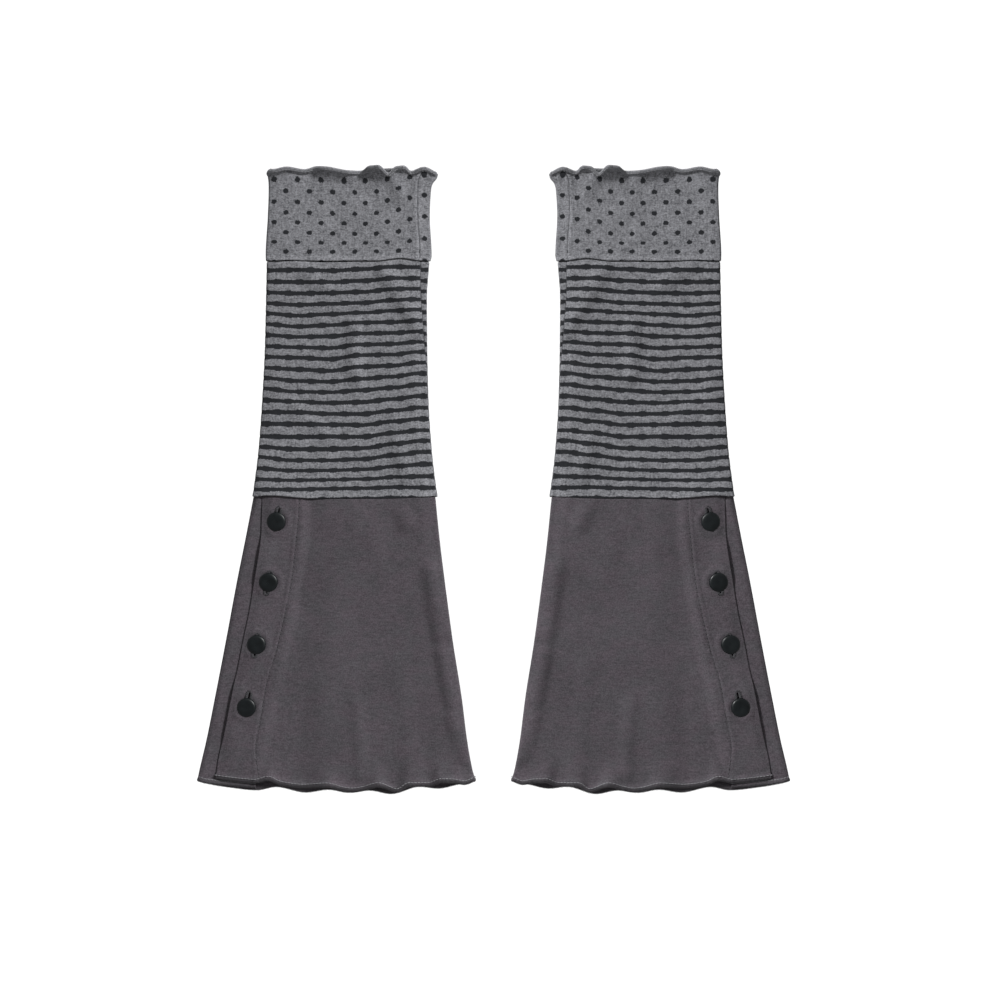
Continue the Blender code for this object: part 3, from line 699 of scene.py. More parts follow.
def stripe_pattern(x, height, around):
    """The knitted stripes' bead and stripe at each point."""
    across, drift, height = unrolled(x, height, around)
    left, right = outline_at(TUBE_OUTLINE, height[0])
    share = np.clip((across - left) / (right - left), 0.0, 1.0)
    sags = [0 * height] + [read(SAGS, "height", name, height) for name in Sag._fields[1:]]
    sag = 0 * height
    for k, (start, end) in enumerate(zip(SAG_SHARES, SAG_SHARES[1:])):
        sag += (sags[k + 1] - sags[k]) * rising(share - start, end - start)
    sag = np.where(drift > 0, sags[-1] * smooth_step(drift), sag)
    stripe = index_at(STRIPES, STRIPE_PITCH, height + sag)
    return np.stack([(across - FIRST_BEAD) / BEAD_STEP, stripe - STRIPE_STEP * drift], axis=-1)


def over_hem(rows, foot):
    """The height of a flared panel's points, and how far that is over its own hem."""
    height = foot + (WAIST - foot) * (rows - HEM) / (WAIST - HEM)
    return height, height - foot


def back_section(heights):
    """The back panel's columns, from the underlap's free end round the left fold."""
    step = cloth_sizes().column_step / MM
    left, right = outline_at(FLARE_OUTLINE, heights)
    fold_x = left + (UNDERLAP_LEVEL - BACK_LEVEL) / 2
    end = np.maximum(opening_at(heights) + PLACKET_WIDTH, stitch_line_x(heights)) - UNDERLAP_SETBACK
    back_shares = graded_shares(BACK_SPAN, step * FLARE_BACK_COARSER)
    return np.concatenate([
        layer(end, fold_x, graded_shares(UNDERLAP_SPAN, step), UNDERLAP_LEVEL, 1.0),
        arc(fold_x, BACK_LEVEL, UNDERLAP_LEVEL, -1, LEFT_FOLD_ANGLES),
        layer(fold_x, right - SIDE_RADIUS, back_shares, BACK_LEVEL, 0.0),
        arc(right - SIDE_RADIUS, BACK_LEVEL, FRONT_LEVEL, 1, -FOLD_ANGLES[::-1]),
    ], axis=1)


def flare_back_sheet():
    """The back panel, from the underlap round the left fold to the side seam."""
    rows = graded(HEM, WAIST + WAIST_TUCK, cloth_sizes().row_step / MM * FLARE_BACK_COARSER)
    x, z, up = back_section(rows)
    hem_x = back_section(np.full_like(rows, HEM))[0]
    underlap = (up > 0) & (x < 0)
    foot, lift = edge_at(HEM_BACK_EDGE, hem_x)
    foot = np.where(underlap, edge_at(HEM_UNDERLAP_EDGE, hem_x)[0], foot)
    height, from_hem = over_hem(rows, foot)
    lift = fade(from_hem) * np.where(underlap, 0.0, lift)
    left, _ = outline_at(FLARE_OUTLINE, rows)
    opening = opening_at(rows)
    swell = 0.4 * falling(x - left - 1.5, opening - left - 1.5)
    swell += 0.35 * falling(x - opening - 0.5, 2.0)
    swell += falling(WAIST - height, 14) * falling(x - opening + 1.6, 1.6)
    swell *= rising(x - left, 3.0)
    ridge = np.where(
        underlap, relief(UNDERLAP_HEM_RELIEF, from_hem), relief(BACK_HEM_RELIEF, from_hem)
    )
    z = z + lift + swell * up * (x < 0) + ridge * (underlap | (up < 1))
    from_end = np.abs(x - x[:1]) + FAR_IN * (up < 1)
    from_ends = np.minimum(from_hem, height[:, -1:] - height)
    cloth = rounded(np.full_like(x, CLOTH), np.minimum(from_ends, from_end))
    cloth[-1] *= EDGE_SHARE
    inside = waist_tuck(x, np.where(underlap, 1.0, up), height)
    x, z, cloth = tucked(x, z, np.where(underlap, 0.5, up), cloth, inside)
    return Sheet(np.stack([x, height, z], axis=-1), cloth, None, None, False)


def front_section(heights):
    """The front panel's columns, from the side seam to the placket's free edge."""
    step = cloth_sizes().column_step / MM
    fold_x = outline_at(FLARE_OUTLINE, heights)[1] - SIDE_RADIUS
    opening = opening_at(heights)
    past_stitch = opening + PLACKET_WIDTH + PLACKET_STEP / 2
    placket_shares = graded_shares(PLACKET_SPAN, step * PLACKET_FINER)
    return np.concatenate([
        arc(fold_x, BACK_LEVEL, FRONT_LEVEL, 1, FOLD_ANGLES),
        layer(fold_x, past_stitch, even_shares(FRONT_SPAN, step), FRONT_LEVEL, 1.0),
        layer(past_stitch - PLACKET_STEP, opening, placket_shares, FRONT_LEVEL, 1.0),
    ], axis=1)


def flare_front_sheet():
    """The front panel, which lies on the back one and, at its placket, on the underlap."""
    rows = graded(HEM, WAIST + WAIST_TUCK, cloth_sizes().row_step / MM)
    x, z, up = front_section(rows)
    hem_x = front_section(np.full_like(rows, HEM))[0]
    foot, lift = edge_at(HEM_FRONT_EDGE, hem_x)
    height, from_hem = over_hem(rows, foot)
    raised = fade(from_hem) * (lift + edge_at(HEM_BACK_EDGE, hem_x)[1])
    _, right = outline_at(FLARE_OUTLINE, rows)
    from_opening = x - opening_at(rows)
    past = from_opening - PLACKET_WIDTH
    doubled = falling(past + PLACKET_STEP / 2, PLACKET_STEP)
    wall = np.where(up == 1, CLOTH + (PLACKET_CLOTH - CLOTH) * doubled, CLOTH)
    top = FLAP_TOP + (FRONT_LEVEL + CLOTH / 2 - FLAP_TOP) * rising(past, PLACKET_SLOPE)
    top = np.where(up == 1, top, z + CLOTH / 2)
    pressed_hem = PRESSED_HEM * doubled * falling(from_hem, PRESSED_REACH)
    pressed = np.maximum(PRESSED_EDGE * falling(from_opening, PRESSED_REACH), pressed_hem)
    top, wall = top - pressed, wall - pressed
    raised += fold_lift(FLARE_FRONT_FOLDS, x, height) * rising(WAIST + 1.0 - height, 16)
    raised += relief(STITCH_RELIEF, x - stitch_line_x(height)) + relief(FRONT_HEM_RELIEF, from_hem)
    raised += 1.7 * rising(right - x - 1.0, 11) * rising(x + 36, 30)
    for button in BUTTONS:
        to_button = np.hypot(x - button.x, height - button.height)
        raised += relief(BUTTON_RELIEF, to_button) * rising(from_opening - 1.0, 6)
    z = top - wall / 2 + np.clip(2 * up - 1, 0, 1) * raised
    from_ends = np.minimum(from_hem, height[:, -1:] - height)
    cloth = rounded(wall, np.minimum(from_ends, from_opening + FAR_IN * (x > 0)))
    cloth[0] *= EDGE_SHARE
    x, z, cloth = tucked(x, z, up, cloth, waist_tuck(x, up, height))
    return Sheet(np.stack([x, height, z], axis=-1), cloth, None, None, False)


# Meshes

def to_world(points, hand):
    """From a leg warmer's own frame, in millimetres, to the world's, in metres."""
    placed = np.array(points, float)
    placed[..., 0] = hand * (placed[..., 0] - LEG_OFFSET)
    placed[..., 1] -= MIDDLE_HEIGHT
    return placed * MM


def wall_normals(sheet):
    if sheet.closed:
        across = np.roll(sheet.middle, -1, axis=0) - np.roll(sheet.middle, 1, axis=0)
    else:
        across = np.gradient(sheet.middle, axis=0, edge_order=2)
    return unit(np.cross(np.gradient(sheet.middle, axis=1), across))


def wall_faces(columns, rows, closed):
    """Quads of a wall round a grid: the outer side, the inner side and the rims."""
    outer = np.arange(columns * rows).reshape(columns, rows)
    if closed:
        outer = np.concatenate([outer, outer[:1]])
    inner = outer + columns * rows
    corners = [
        (outer[:-1, :-1], outer[1:, :-1], outer[1:, 1:], outer[:-1, 1:]),
        (inner[:-1, 1:], inner[1:, 1:], inner[1:, :-1], inner[:-1, :-1]),
    ]
    corners += [(outer[:-1, j], inner[:-1, j], inner[1:, j], outer[1:, j]) for j in (0, -1)]
    if not closed:
        corners += [(outer[i, :-1], outer[i, 1:], inner[i, 1:], inner[i, :-1]) for i in (0, -1)]
    return np.concatenate([np.stack(quads, -1).reshape(-1, 4) for quads in corners])


def link(obj, kind, hand):
    """Puts a piece into a collection of one leg warmer. kind is cloth or leg_warmer."""
    side = "left" if hand > 0 else "right"
    bpy.data.collections[f"{kind}_{side}"].objects.link(obj)


def write_closed(shape, mesh):
    """Writes closed shapes to a mesh, with their faces pointing out."""
    bmesh.ops.recalc_face_normals(shape, faces=shape.faces)
    shape.to_mesh(mesh)
    shape.free()


def add_object(name, points, faces, hand):
    """A smooth object made of closed shapes."""
    mesh = bpy.data.meshes.new(name)
    mesh.from_pydata(to_world(points, hand).tolist(), [], faces)
    shape = bmesh.new()
    shape.from_mesh(mesh)
    write_closed(shape, mesh)
    mesh.shade_smooth()
    obj = bpy.data.objects.new(name, mesh)
    link(obj, "cloth", hand)
    return obj


def add_cloth(name, sheet, hand):
    """The wall of one piece of cloth, with its pattern in the UV maps."""
    half = wall_normals(sheet) * sheet.cloth[:, :, None] / 2
    columns, rows = sheet.cloth.shape
    points = np.concatenate([sheet.middle + half, sheet.middle - half]).reshape(-1, 3)
    obj = add_object(name, points, wall_faces(columns, rows, sheet.closed).tolist(), hand)
    obj.data.set_sharp_from_angle(angle=SMOOTH_UP_TO)
    if sheet.pattern is not None:
        add_uv_map(obj.data, "pattern", sheet.pattern, columns, rows)
        add_uv_map(obj.data, "seam", np.stack([sheet.seam, 0 * sheet.seam], -1), columns, rows)
    return obj


def add_uv_map(mesh, name, values, columns, rows):
    """A value at each corner. values has one column more than the ring: the last is its end."""
    corners = np.zeros(len(mesh.loops), int)
    mesh.loops.foreach_get("vertex_index", corners)
    column, row = np.divmod(corners % (columns * rows), rows)
    quads = column.reshape(-1, 4)
    wraps = (quads.max(axis=1) == columns - 1) & (quads.min(axis=1) == 0)
    column = np.where(wraps[:, None] & (quads == 0), columns, quads).ravel()
    uv_map = mesh.uv_layers.new(name=name)
    uv_map.data.foreach_set("uv", values[column, row].astype(np.float32).ravel())


def thread_template(rings):
    """A straight thread, modelled once: for each point its ring and its place in the ring."""
    bpy.ops.mesh.primitive_cylinder_add(vertices=6, radius=0.5, depth=1.0, location=(0, 0, 0))
    obj = bpy.context.active_object
    bpy.ops.object.mode_set(mode="EDIT")
    for cut in range(1, rings - 1):
        bpy.ops.mesh.select_all(action="SELECT")
        bpy.ops.mesh.bisect(plane_co=(0, 0, cut / (rings - 1) - 0.5), plane_no=(0, 0, 1))
    bpy.ops.object.mode_set(mode="OBJECT")
    points = np.array([v.co for v in obj.data.vertices])
    faces = [list(p.vertices) for p in obj.data.polygons]
    bpy.data.objects.remove(obj, do_unlink=True)
    ring = np.rint((points[:, 2] + 0.5) * (rings - 1)).astype(int)
    return ring, points[:, :2], faces


def sew(name, paths, normals, width, thickness, hand):
    """Lays one thread along each path: paths is stitches by stations by xyz, in millimetres."""
    stitches, rings, _ = paths.shape
    ring, offsets, faces = thread_template(rings)
    run = unit(np.gradient(paths, axis=1))
    side = unit(np.cross(run, normals))
    lift = np.cross(side, run)
    taper = np.where((ring == 0) | (ring == rings - 1), THREAD_TAPER, 1.0)
    across = offsets * (width, thickness) * taper[:, None]
    points = paths[:, ring] + side[:, ring] * across[:, :1] + lift[:, ring] * across[:, 1:]
    points[..., 2] = np.maximum(points[..., 2], FLOOR_GAP)
    every = [[v + k * len(ring) for v in face] for k in range(stitches) for face in faces]
    return add_object(name, points.reshape(-1, 3), every, hand)


def join(name, parts):
    """Joins parts into the first one, under a name."""
    bpy.ops.object.select_all(action="DESELECT")
    for part in parts:
        part.select_set(True)
    bpy.context.view_layer.objects.active = parts[0]
    bpy.ops.object.join()
    parts[0].name = name
    return parts[0]


# Materials

def add_node(tree, kind, inputs=None, **settings):
    """Adds a node. inputs are values for its sockets, or sockets to link to them."""
    made = tree.nodes.new(kind)
    for name, value in settings.items():
        setattr(made, name, value)
    for socket, value in (inputs or {}).items():
        if isinstance(value, bpy.types.NodeSocket):
            tree.links.new(value, made.inputs[socket])
        else:
            made.inputs[socket].default_value = value
    return made


def maths(tree, operation, first, second=0.0):
    return add_node(tree, "ShaderNodeMath", {0: first, 1: second}, operation=operation).outputs[0]


def plus(tree, *values):
    """The sum of sockets and numbers."""
    total = values[0]
    for value in values[1:]:
        total = maths(tree, "ADD", total, value)
    return total


def times(tree, first, second):
    return maths(tree, "MULTIPLY", first, second)


def from_nearest(tree, value):
    """How far a value is from the nearest whole number."""
    return maths(tree, "SUBTRACT", value, maths(tree, "ROUND", value))


def ranged(tree, value, low, high, to_low=0.0, to_high=1.0, smooth=False):
    inputs = {"Value": value, "From Min": low, "From Max": high, "To Min": to_low, "To Max": to_high}
    kind = "SMOOTHSTEP" if smooth else "LINEAR"
    return add_node(tree, "ShaderNodeMapRange", inputs, interpolation_type=kind).outputs["Result"]


def spread(tree, noise_value, low, high):
    """Brings a noise from the range that it mostly fills to another one."""
    return ranged(tree, noise_value, 0.3, 0.7, low, high)


def parts_of(tree, vector):
    """The outputs X, Y and Z of a vector."""
    return add_node(tree, "ShaderNodeSeparateXYZ", {0: vector}).outputs


def stretched(tree, coordinates, scale):
    inputs = {"Vector": coordinates, "Scale": scale}
    return add_node(tree, "ShaderNodeMapping", inputs).outputs["Vector"]


def noise(tree, coordinates, scale, detail=2.0, roughness=0.5, stretch=None):
    """A noise. stretch scales its coordinates first, below 1 where it is drawn out."""
    if stretch:
        coordinates = stretched(tree, coordinates, stretch)
    inputs = {"Vector": coordinates, "Scale": scale, "Detail": detail, "Roughness": roughness}
    return add_node(tree, "ShaderNodeTexNoise", inputs).outputs["Fac"]


def mixed(tree, share, first, second, blend="MIX"):
    """A colour mix. first and second are sockets or colours of three numbers."""
    made = tree.nodes.new("ShaderNodeMix")
    made.data_type = "RGBA"
    made.blend_type = blend
    for socket, value in zip((made.inputs[0], made.inputs[6], made.inputs[7]), (share, first, second)):
        if isinstance(value, bpy.types.NodeSocket):
            tree.links.new(value, socket)
        elif isinstance(value, float):
            socket.default_value = value
        else:
            socket.default_value = (*value, 1.0)
    return made.outputs[2]


def new_material(name, roughness, sheen=0.0, specular=0.3):
    """A material with its shader, and the coordinates that its pattern reads."""
    made = bpy.data.materials.new(name)
    made.use_nodes = True
    tree = made.node_tree
    shader = tree.nodes["Principled BSDF"]
    shader.inputs["Roughness"].default_value = roughness
    shader.inputs["Sheen Weight"].default_value = sheen
    shader.inputs["Sheen Roughness"].default_value = 0.5
    shader.inputs["Specular IOR Level"].default_value = specular
    coordinates = add_node(tree, "ShaderNodeTexCoord").outputs["Object"]
    return made, tree, shader, coordinates


def finish_material(tree, shader, colour, height, strength, distance):
    tree.links.new(colour, shader.inputs["Base Color"])
    inputs = {"Height": height, "Strength": strength, "Distance": distance}
    bump = add_node(tree, "ShaderNodeBump", inputs)
    tree.links.new(bump.outputs["Normal"], shader.inputs["Normal"])


def knit_loops(tree, coordinates, loop_width, loop_height):
    """Rows of knitted loops, as a height from 0 to 1."""
    turns = (math.tau / loop_width, math.tau / loop_height, 1.0)
    parts = parts_of(tree, stretched(tree, coordinates, turns))
    wale = maths(tree, "COSINE", parts["X"])
    course = maths(tree, "COSINE", plus(tree, parts["Y"], times(tree, wale, 1.2)))
    return plus(tree, times(tree, wale, 0.3), times(tree, course, 0.2), 0.5)


def melange(tree, coordinates):
    """The mixed fibres of the grey knit, as a colour and a height."""
    fine = noise(tree, coordinates, 1050.0, 2.0, 0.7, stretch=(0.75, 1.0, 1.0))
    upright = noise(tree, coordinates, 820.0, 1.0, 0.5, stretch=(1.0, 0.3, 1.0))
    streak = noise(tree, coordinates, 900.0, 2.0, 0.6, stretch=(0.28, 1.0, 1.0))
    cloud = noise(tree, coordinates, 90.0)
    share = plus(
        tree, spread(tree, fine, -0.12, 0.56), spread(tree, streak, 0.0, 0.3),
        spread(tree, upright, 0.0, 0.26), spread(tree, cloud, -0.06, 0.06),
    )
    colour = mixed(tree, share, colours().dark_fibres_and_seam_shade, colours().melange_light)
    loops = knit_loops(tree, coordinates, 0.95 * MM, 0.8 * MM)
    return colour, plus(tree, times(tree, loops, 0.6), times(tree, fine, 0.5))


def pattern_place(tree, step_across, step_along):
    """The pattern's two coordinates, stepped past the side seam, and the distance to the seam."""
    place, seam = (
        parts_of(tree, add_node(tree, "ShaderNodeUVMap", uv_map=name).outputs["UV"])
        for name in ("pattern", "seam")
    )
    gap = seam["X"]
    past = maths(tree, "LESS_THAN", gap, 0.0)
    across = plus(tree, place["X"], times(tree, past, step_across))
    return across, plus(tree, place["Y"], times(tree, past, step_along)), gap


def ragged(tree, coordinates, scale, reach):
    """An uneven offset, for edges that follow single loops of the knit."""
    return ranged(tree, noise(tree, coordinates, scale, 2.0, 0.6), 0.25, 0.75, -reach, reach)


def staggered(tree, across, row):
    """A place across, moved by half a step in every other row."""
    odd = maths(tree, "FLOORED_MODULO", row, 2.0)
    return plus(tree, across, times(tree, odd, 0.5))


def dots(tree, coordinates, across, lengthways):
    """The share of black in the knitted dots."""
    sizes = cloth_sizes()
    across = plus(tree, across, ragged(tree, coordinates, 700.0, 0.022))
    lengthways = plus(tree, lengthways, ragged(tree, coordinates, 900.0, 0.075))
    column = staggered(tree, across, maths(tree, "ROUND", lengthways))
    squares = []
    for place, size, step in (
        (column, sizes.dot_width, DOT_COLUMN_STEP), (lengthways, sizes.dot_height, DOT_ROW_STEP),
    ):
        share = maths(tree, "DIVIDE", from_nearest(tree, place), size / MM / 2 / step)
        squares.append(times(tree, share, share))
    return ranged(tree, plus(tree, *squares), 1.25, 0.75, smooth=True)


def stripes(tree, coordinates, beads, lengthways):
    """The share of black in the knitted stripes, which swell at their beads."""
    sizes = cloth_sizes()
    bead = staggered(tree, beads, maths(tree, "ROUND", lengthways))
    from_bead = maths(tree, "ABSOLUTE", from_nearest(tree, bead))
    swell = ranged(tree, from_bead, 0.06, 0.24, 1.0, 0.0, smooth=True)
    half = ranged(tree, swell, 0.0, 1.0, sizes.stripe_height / MM / 2, sizes.bead_height / MM / 2)
    off = times(tree, from_nearest(tree, lengthways), STRIPE_PITCH)
    off = plus(tree, off, ragged(tree, coordinates, 800.0, 0.35))
    inside = maths(tree, "SUBTRACT", half, maths(tree, "ABSOLUTE", off))
    return ranged(tree, inside, -0.18, 0.18, smooth=True)


def knit_material(name, black_at, step_across, step_along, black_rise):
    """The grey knit with a black pattern, and painted shade that darkens it along its side seam."""
    made, tree, shader, coordinates = new_material(name, 0.95, sheen=0.08, specular=0.06)
    colour, height = melange(tree, coordinates)
    across, lengthways, gap = pattern_place(tree, step_across, step_along)
    black = black_at(tree, coordinates, across, lengthways)
    worn = ranged(tree, height, 0.3, 0.8, 0.94, 0.99)
    colour = mixed(tree, times(tree, black, worn), colour, colours().knit_black_and_hole_shade)
    # Painted shade: within 0.75 mm of the side seam the colour is mixed up to 0.55 of the way to the
    # dark fibres' tone. It stands in for the shade in the seam's crevice.
    painted_seam_shade = ranged(tree, maths(tree, "ABSOLUTE", gap), 0.15, 0.75, 0.55, 0.0, smooth=True)
    colour = mixed(tree, painted_seam_shade, colour, colours().dark_fibres_and_seam_shade)
    height = plus(tree, height, times(tree, black, black_rise))
    finish_material(tree, shader, colour, height, 0.5, 0.25 * MM)
    return made


def jersey_material(name):
    made, tree, shader, coordinates = new_material(name, 0.92, sheen=0.08, specular=0.08)
    tones = colours()
    streak = noise(tree, coordinates, 760.0, 3.0, 0.65, stretch=(0.22, 1.0, 1.0))
    patch = noise(tree, coordinates, 110.0, 3.0, 0.6, stretch=(0.7, 1.0, 1.0))
    # cloud: large soft blotches of painted light and shade, standing in for the shading of wrinkles.
    cloud = noise(tree, coordinates, 24.0)
    fibre = noise(tree, coordinates, 1050.0, 2.0, 0.6)
    colour = mixed(tree, ranged(tree, patch, 0.38, 0.62), tones.charcoal, tones.charcoal_cool)
    # Brightness: the jersey's own streaks and fibres, plus the cloud's painted wrinkle shading.
    light = plus(
        tree, spread(tree, streak, 0.84, 1.16), spread(tree, cloud, -0.08, 0.08),
        spread(tree, fibre, -0.30, 0.30),
    )
    grey = add_node(tree, "ShaderNodeCombineColor", {0: light, 1: light, 2: light}).outputs[0]
    colour = mixed(tree, 1.0, colour, grey, blend="MULTIPLY")
    loops = knit_loops(tree, coordinates, 0.75 * MM, 0.6 * MM)
    height = plus(tree, times(tree, loops, 0.5), times(tree, streak, 0.5))
    finish_material(tree, shader, colour, height, 0.36, 0.17 * MM)
    return made


def thread_material(name, colour):
    made, tree, shader, coordinates = new_material(name, 0.8, sheen=0.05, specular=0.12)
    ply = noise(tree, coordinates, 2600.0, 1.0)
    patch = noise(tree, coordinates, 300.0, 1.0)
    dark = tuple(0.7 * channel for channel in colour)
    share = plus(tree, spread(tree, ply, 0.1, 0.7), spread(tree, patch, 0.0, 0.3))
    finish_material(tree, shader, mixed(tree, share, dark, colour), ply, 0.4, 0.1 * MM)
    return made


def button_material():
    made, tree, shader, coordinates = new_material("satin_black_plastic", 0.34, specular=0.3)
    grain = noise(tree, coordinates, 1300.0, 3.0)
    smear = noise(tree, coordinates, 160.0, 2.0)
    worn = tuple(1.7 * channel for channel in colours().button)
    colour = mixed(tree, ranged(tree, smear, 0.35, 0.65, 0.0, 0.8), colours().button, worn)
    tree.links.new(spread(tree, smear, 0.32, 0.46), shader.inputs["Roughness"])
    finish_material(tree, shader, colour, grain, 0.15, 0.05 * MM)
    return made


def floor_material():
    made, tree, shader, coordinates = new_material("studio_floor", 0.9, specular=0.1)
    patch = noise(tree, coordinates, 3.0, 1.0)
    colour = mixed(tree, spread(tree, patch, 0.0, 1.0), (0.93, 0.93, 0.93), (0.95, 0.95, 0.95))
    finish_material(tree, shader, colour, patch, 0.02, 0.5 * MM)
    return made


def shared(name, make, *arguments):
    """A material that more than one operator uses, made on first use."""
    return bpy.data.materials.get(name) or make(name, *arguments)


def dress(obj, material, replaced=()):
    """Gives a piece its material and ties it to the frame."""
    obj.data.materials.clear()
    obj.data.materials.append(material)
    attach(obj, "root")
    if replaced:
        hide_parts(*replaced)


# Sewing

def along_rows(sheet, rows, step):
    """Points, normals and half thicknesses on some rows, spaced evenly along the first one."""
    grid = np.concatenate([sheet.middle, wall_normals(sheet), sheet.cloth[:, :, None] / 2], axis=2)
    if sheet.closed:
        grid = np.concatenate([grid, grid[:1]])
    steps = np.linalg.norm(np.diff(grid[:, rows[0], :3], axis=0), axis=1)
    distance = np.concatenate([[0.0], np.cumsum(steps)])
    places = np.arange(step / 2, distance[-1], step)
    found = []
    for row in rows:
        values = [np.interp(places, distance, grid[:, row, k]) for k in range(grid.shape[2])]
        found.append(np.split(np.stack(values, axis=-1), [3, 6], axis=1))
    return found


def overlock(name, sheet, from_top, hand, needle_row):
    """Thread loops wrapped over a free edge, and the line of needle stitches inside them."""
    sizes = sewing_sizes()
    width = sizes.thread_width / MM

    def row_at(k):
        return -1 - k if from_top else k

    stations = [row_at(0)] + [row_at(s.row) for s in OVERLOCK_LOOP]
    edge, *rows = along_rows(sheet, stations, sizes.loop_step / MM)
    into = unit(rows[0][0] - edge[0])
    run = np.cross(rows[0][1], into)
    paths, ways = [], []
    for s, (points, normals, half) in zip(OVERLOCK_LOOP, rows):
        at_edge = into * (s.row == 0)
        off = (half + width * LOOP_LIFT) * s.side
        paths.append(points + run * s.along + normals * off - at_edge * LOOP_PAST_EDGE)
        ways.append(normals * s.side - at_edge)
    paths, ways = np.stack(paths, axis=1), np.stack(ways, axis=1)
    loops = sew(f"{name}_loops", paths, ways, width, width * 0.7, hand)
    points, normals, half = along_rows(sheet, [row_at(needle_row)], NEEDLE_STEP)[0]
    run = unit(np.gradient(points, axis=0)) * NEEDLE_STEP
    paths = [points + run * s.off + normals * (half + s.rise) for s in NEEDLE_STITCH]
    paths = np.stack(paths, axis=1)
    return loops, sew(f"{name}_needle", paths, normals[:, None], width * 1.1, width * 0.9, hand)


def surface_of(obj):
    """A tree that finds the cloth's top under a point."""
    mesh = obj.data
    points = [v.co for v in mesh.vertices]
    return BVHTree.FromPolygons(points, [tuple(p.vertices) for p in mesh.polygons])


def top_at(tree, x, height, hand):
    """The cloth's top at a place, in millimetres: the placket's where there is none."""
    start = to_world(np.array([x, height, 50.0]), hand)
    hit = tree.ray_cast(Vector(start), Vector((0, 0, -1)))
    return FLAP_TOP if hit[0] is None else hit[0].z / MM


def placket_threads(name, tree, hand, starts, depths, profile, scale, width, thickness):
    """Threads laid along the placket's line. profile gives their offsets along it and rises."""
    paths = []
    for start, depth in zip(starts, depths):
        path = []
        for station in profile:
            height = start + station.off * scale
            x = float(stitch_line_x(height))
            path.append((x, height, top_at(tree, x, height, hand) + station.rise - depth))
        paths.append(path)
    return sew(name, np.array(paths), UP, width, thickness, hand)


def topstitch(name, tree, hand):
    """The placket's stitching: short threads that dive into the cloth at both ends."""
    stitch, width = sewing_sizes().topstitch_length / MM, sewing_sizes().thread_width / MM
    starts = np.arange(STITCHING_FOOT, STITCHING_HEAD, stitch + STITCH_GAP)
    depths = np.zeros(len(starts))
    return placket_threads(name, tree, hand, starts, depths, TOPSTITCH, stitch, width, width * 0.7)


def needle_holes(name, tree, hand):
    """Near-black threads between two stitches of the placket, sunk deeper towards the hem: painted
    shade for the dark needle holes.
    """
    stitch = sewing_sizes().topstitch_length / MM
    first = STITCHING_FOOT + stitch + STITCH_GAP / 2
    middles = np.arange(first, STITCHING_HEAD, stitch + STITCH_GAP)
    depths = HOLE_SUNK * rising(HOLES_SINK_BELOW - middles, 50)
    return placket_threads(name, tree, hand, middles, depths, NEEDLE_HOLE, 1.0, 0.6, 0.3)


def slot_points(button, reach, step):
    """Points and ways out, spaced round a leaning slot with round ends."""
    sizes = sewing_sizes()
    radius = sizes.hole_width / MM / 2
    straight = sizes.hole_length / MM / 2 - radius
    points, ways = [], []
    for end in (1, -1):
        for y in np.arange(-straight, straight, step):
            points.append((end * reach, y * end))
            ways.append((end, 0.0))
        for angle in np.arange(0.0, math.pi, step / (radius + reach * 0.5)):
            way = (end * math.cos(angle), end * math.sin(angle))
            points.append((way[0] * reach, end * straight + way[1] * reach))
            ways.append(way)
    sine, cosine = math.sin(BUTTONHOLE_LEAN), math.cos(BUTTONHOLE_LEAN)
    turn = np.array([[cosine, -sine], [sine, cosine]])
    points = np.array(points) + (0.0, button.hole_shift)
    return points @ turn + (button.x, button.height), np.array(ways) @ turn


def buttonhole_border(name, button, tree, hand):
    """Satin stitches set side by side all round a buttonhole."""
    sizes = sewing_sizes()
    reach = sizes.hole_border / MM + BORDER_OVERHANG
    inner, ways = slot_points(button, sizes.hole_width / MM / 2 - BORDER_OVERHANG, 0.5)
    tops = np.array([top_at(tree, *(p + w * 2.6), hand) for p, w in zip(inner, ways)])
    paths = [np.column_stack([inner + ways * s.off * reach, tops + s.rise]) for s in SATIN_STITCH]
    return sew(name, np.stack(paths, axis=1), UP, 0.46, 0.4, hand)


def cut_holes(obj, hand):
    """Cuts the four buttonholes through the placket."""
    radius = sewing_sizes().hole_width / MM / 2
    shape = bmesh.new()
    for button in BUTTONS:
        points, _ = slot_points(button, radius, 0.7)
        keep = [p for k, p in enumerate(points) if k == 0 or np.linalg.norm(p - points[k - 1]) > 0.2]
        flat = np.column_stack([keep, np.full(len(keep), UNDERLAP_LEVEL + 0.8)])
        verts = [shape.verts.new(p) for p in to_world(flat, hand)]
        raised = bmesh.ops.extrude_face_region(shape, geom=[shape.faces.new(verts)])
        tops = [v for v in raised["geom"] if isinstance(v, bmesh.types.BMVert)]
        bmesh.ops.translate(shape, verts=tops, vec=(0, 0, 6 * MM))
    mesh = bpy.data.meshes.new("hole_cutter")
    write_closed(shape, mesh)
    cutter = bpy.data.objects.new("hole_cutter", mesh)
    bpy.context.scene.collection.objects.link(cutter)
    modifier = obj.modifiers.new("buttonholes", "BOOLEAN")
    modifier.operation = "DIFFERENCE"
    modifier.solver = "EXACT"
    modifier.object = cutter
    bpy.ops.object.select_all(action="DESELECT")
    bpy.context.view_layer.objects.active = obj
    bpy.ops.object.modifier_apply(modifier=modifier.name)
    bpy.data.objects.remove(cutter, do_unlink=True)


# Buttons

def select_faces(obj, side):
    """Selects in edit mode the faces that look up, or down where side is -1."""
    bpy.ops.mesh.select_all(action="DESELECT")
    shape = bmesh.from_edit_mesh(obj.data)
    for face in shape.faces:
        face.select_set(face.normal.z * side > 0.9)
    bmesh.update_edit_mesh(obj.data)


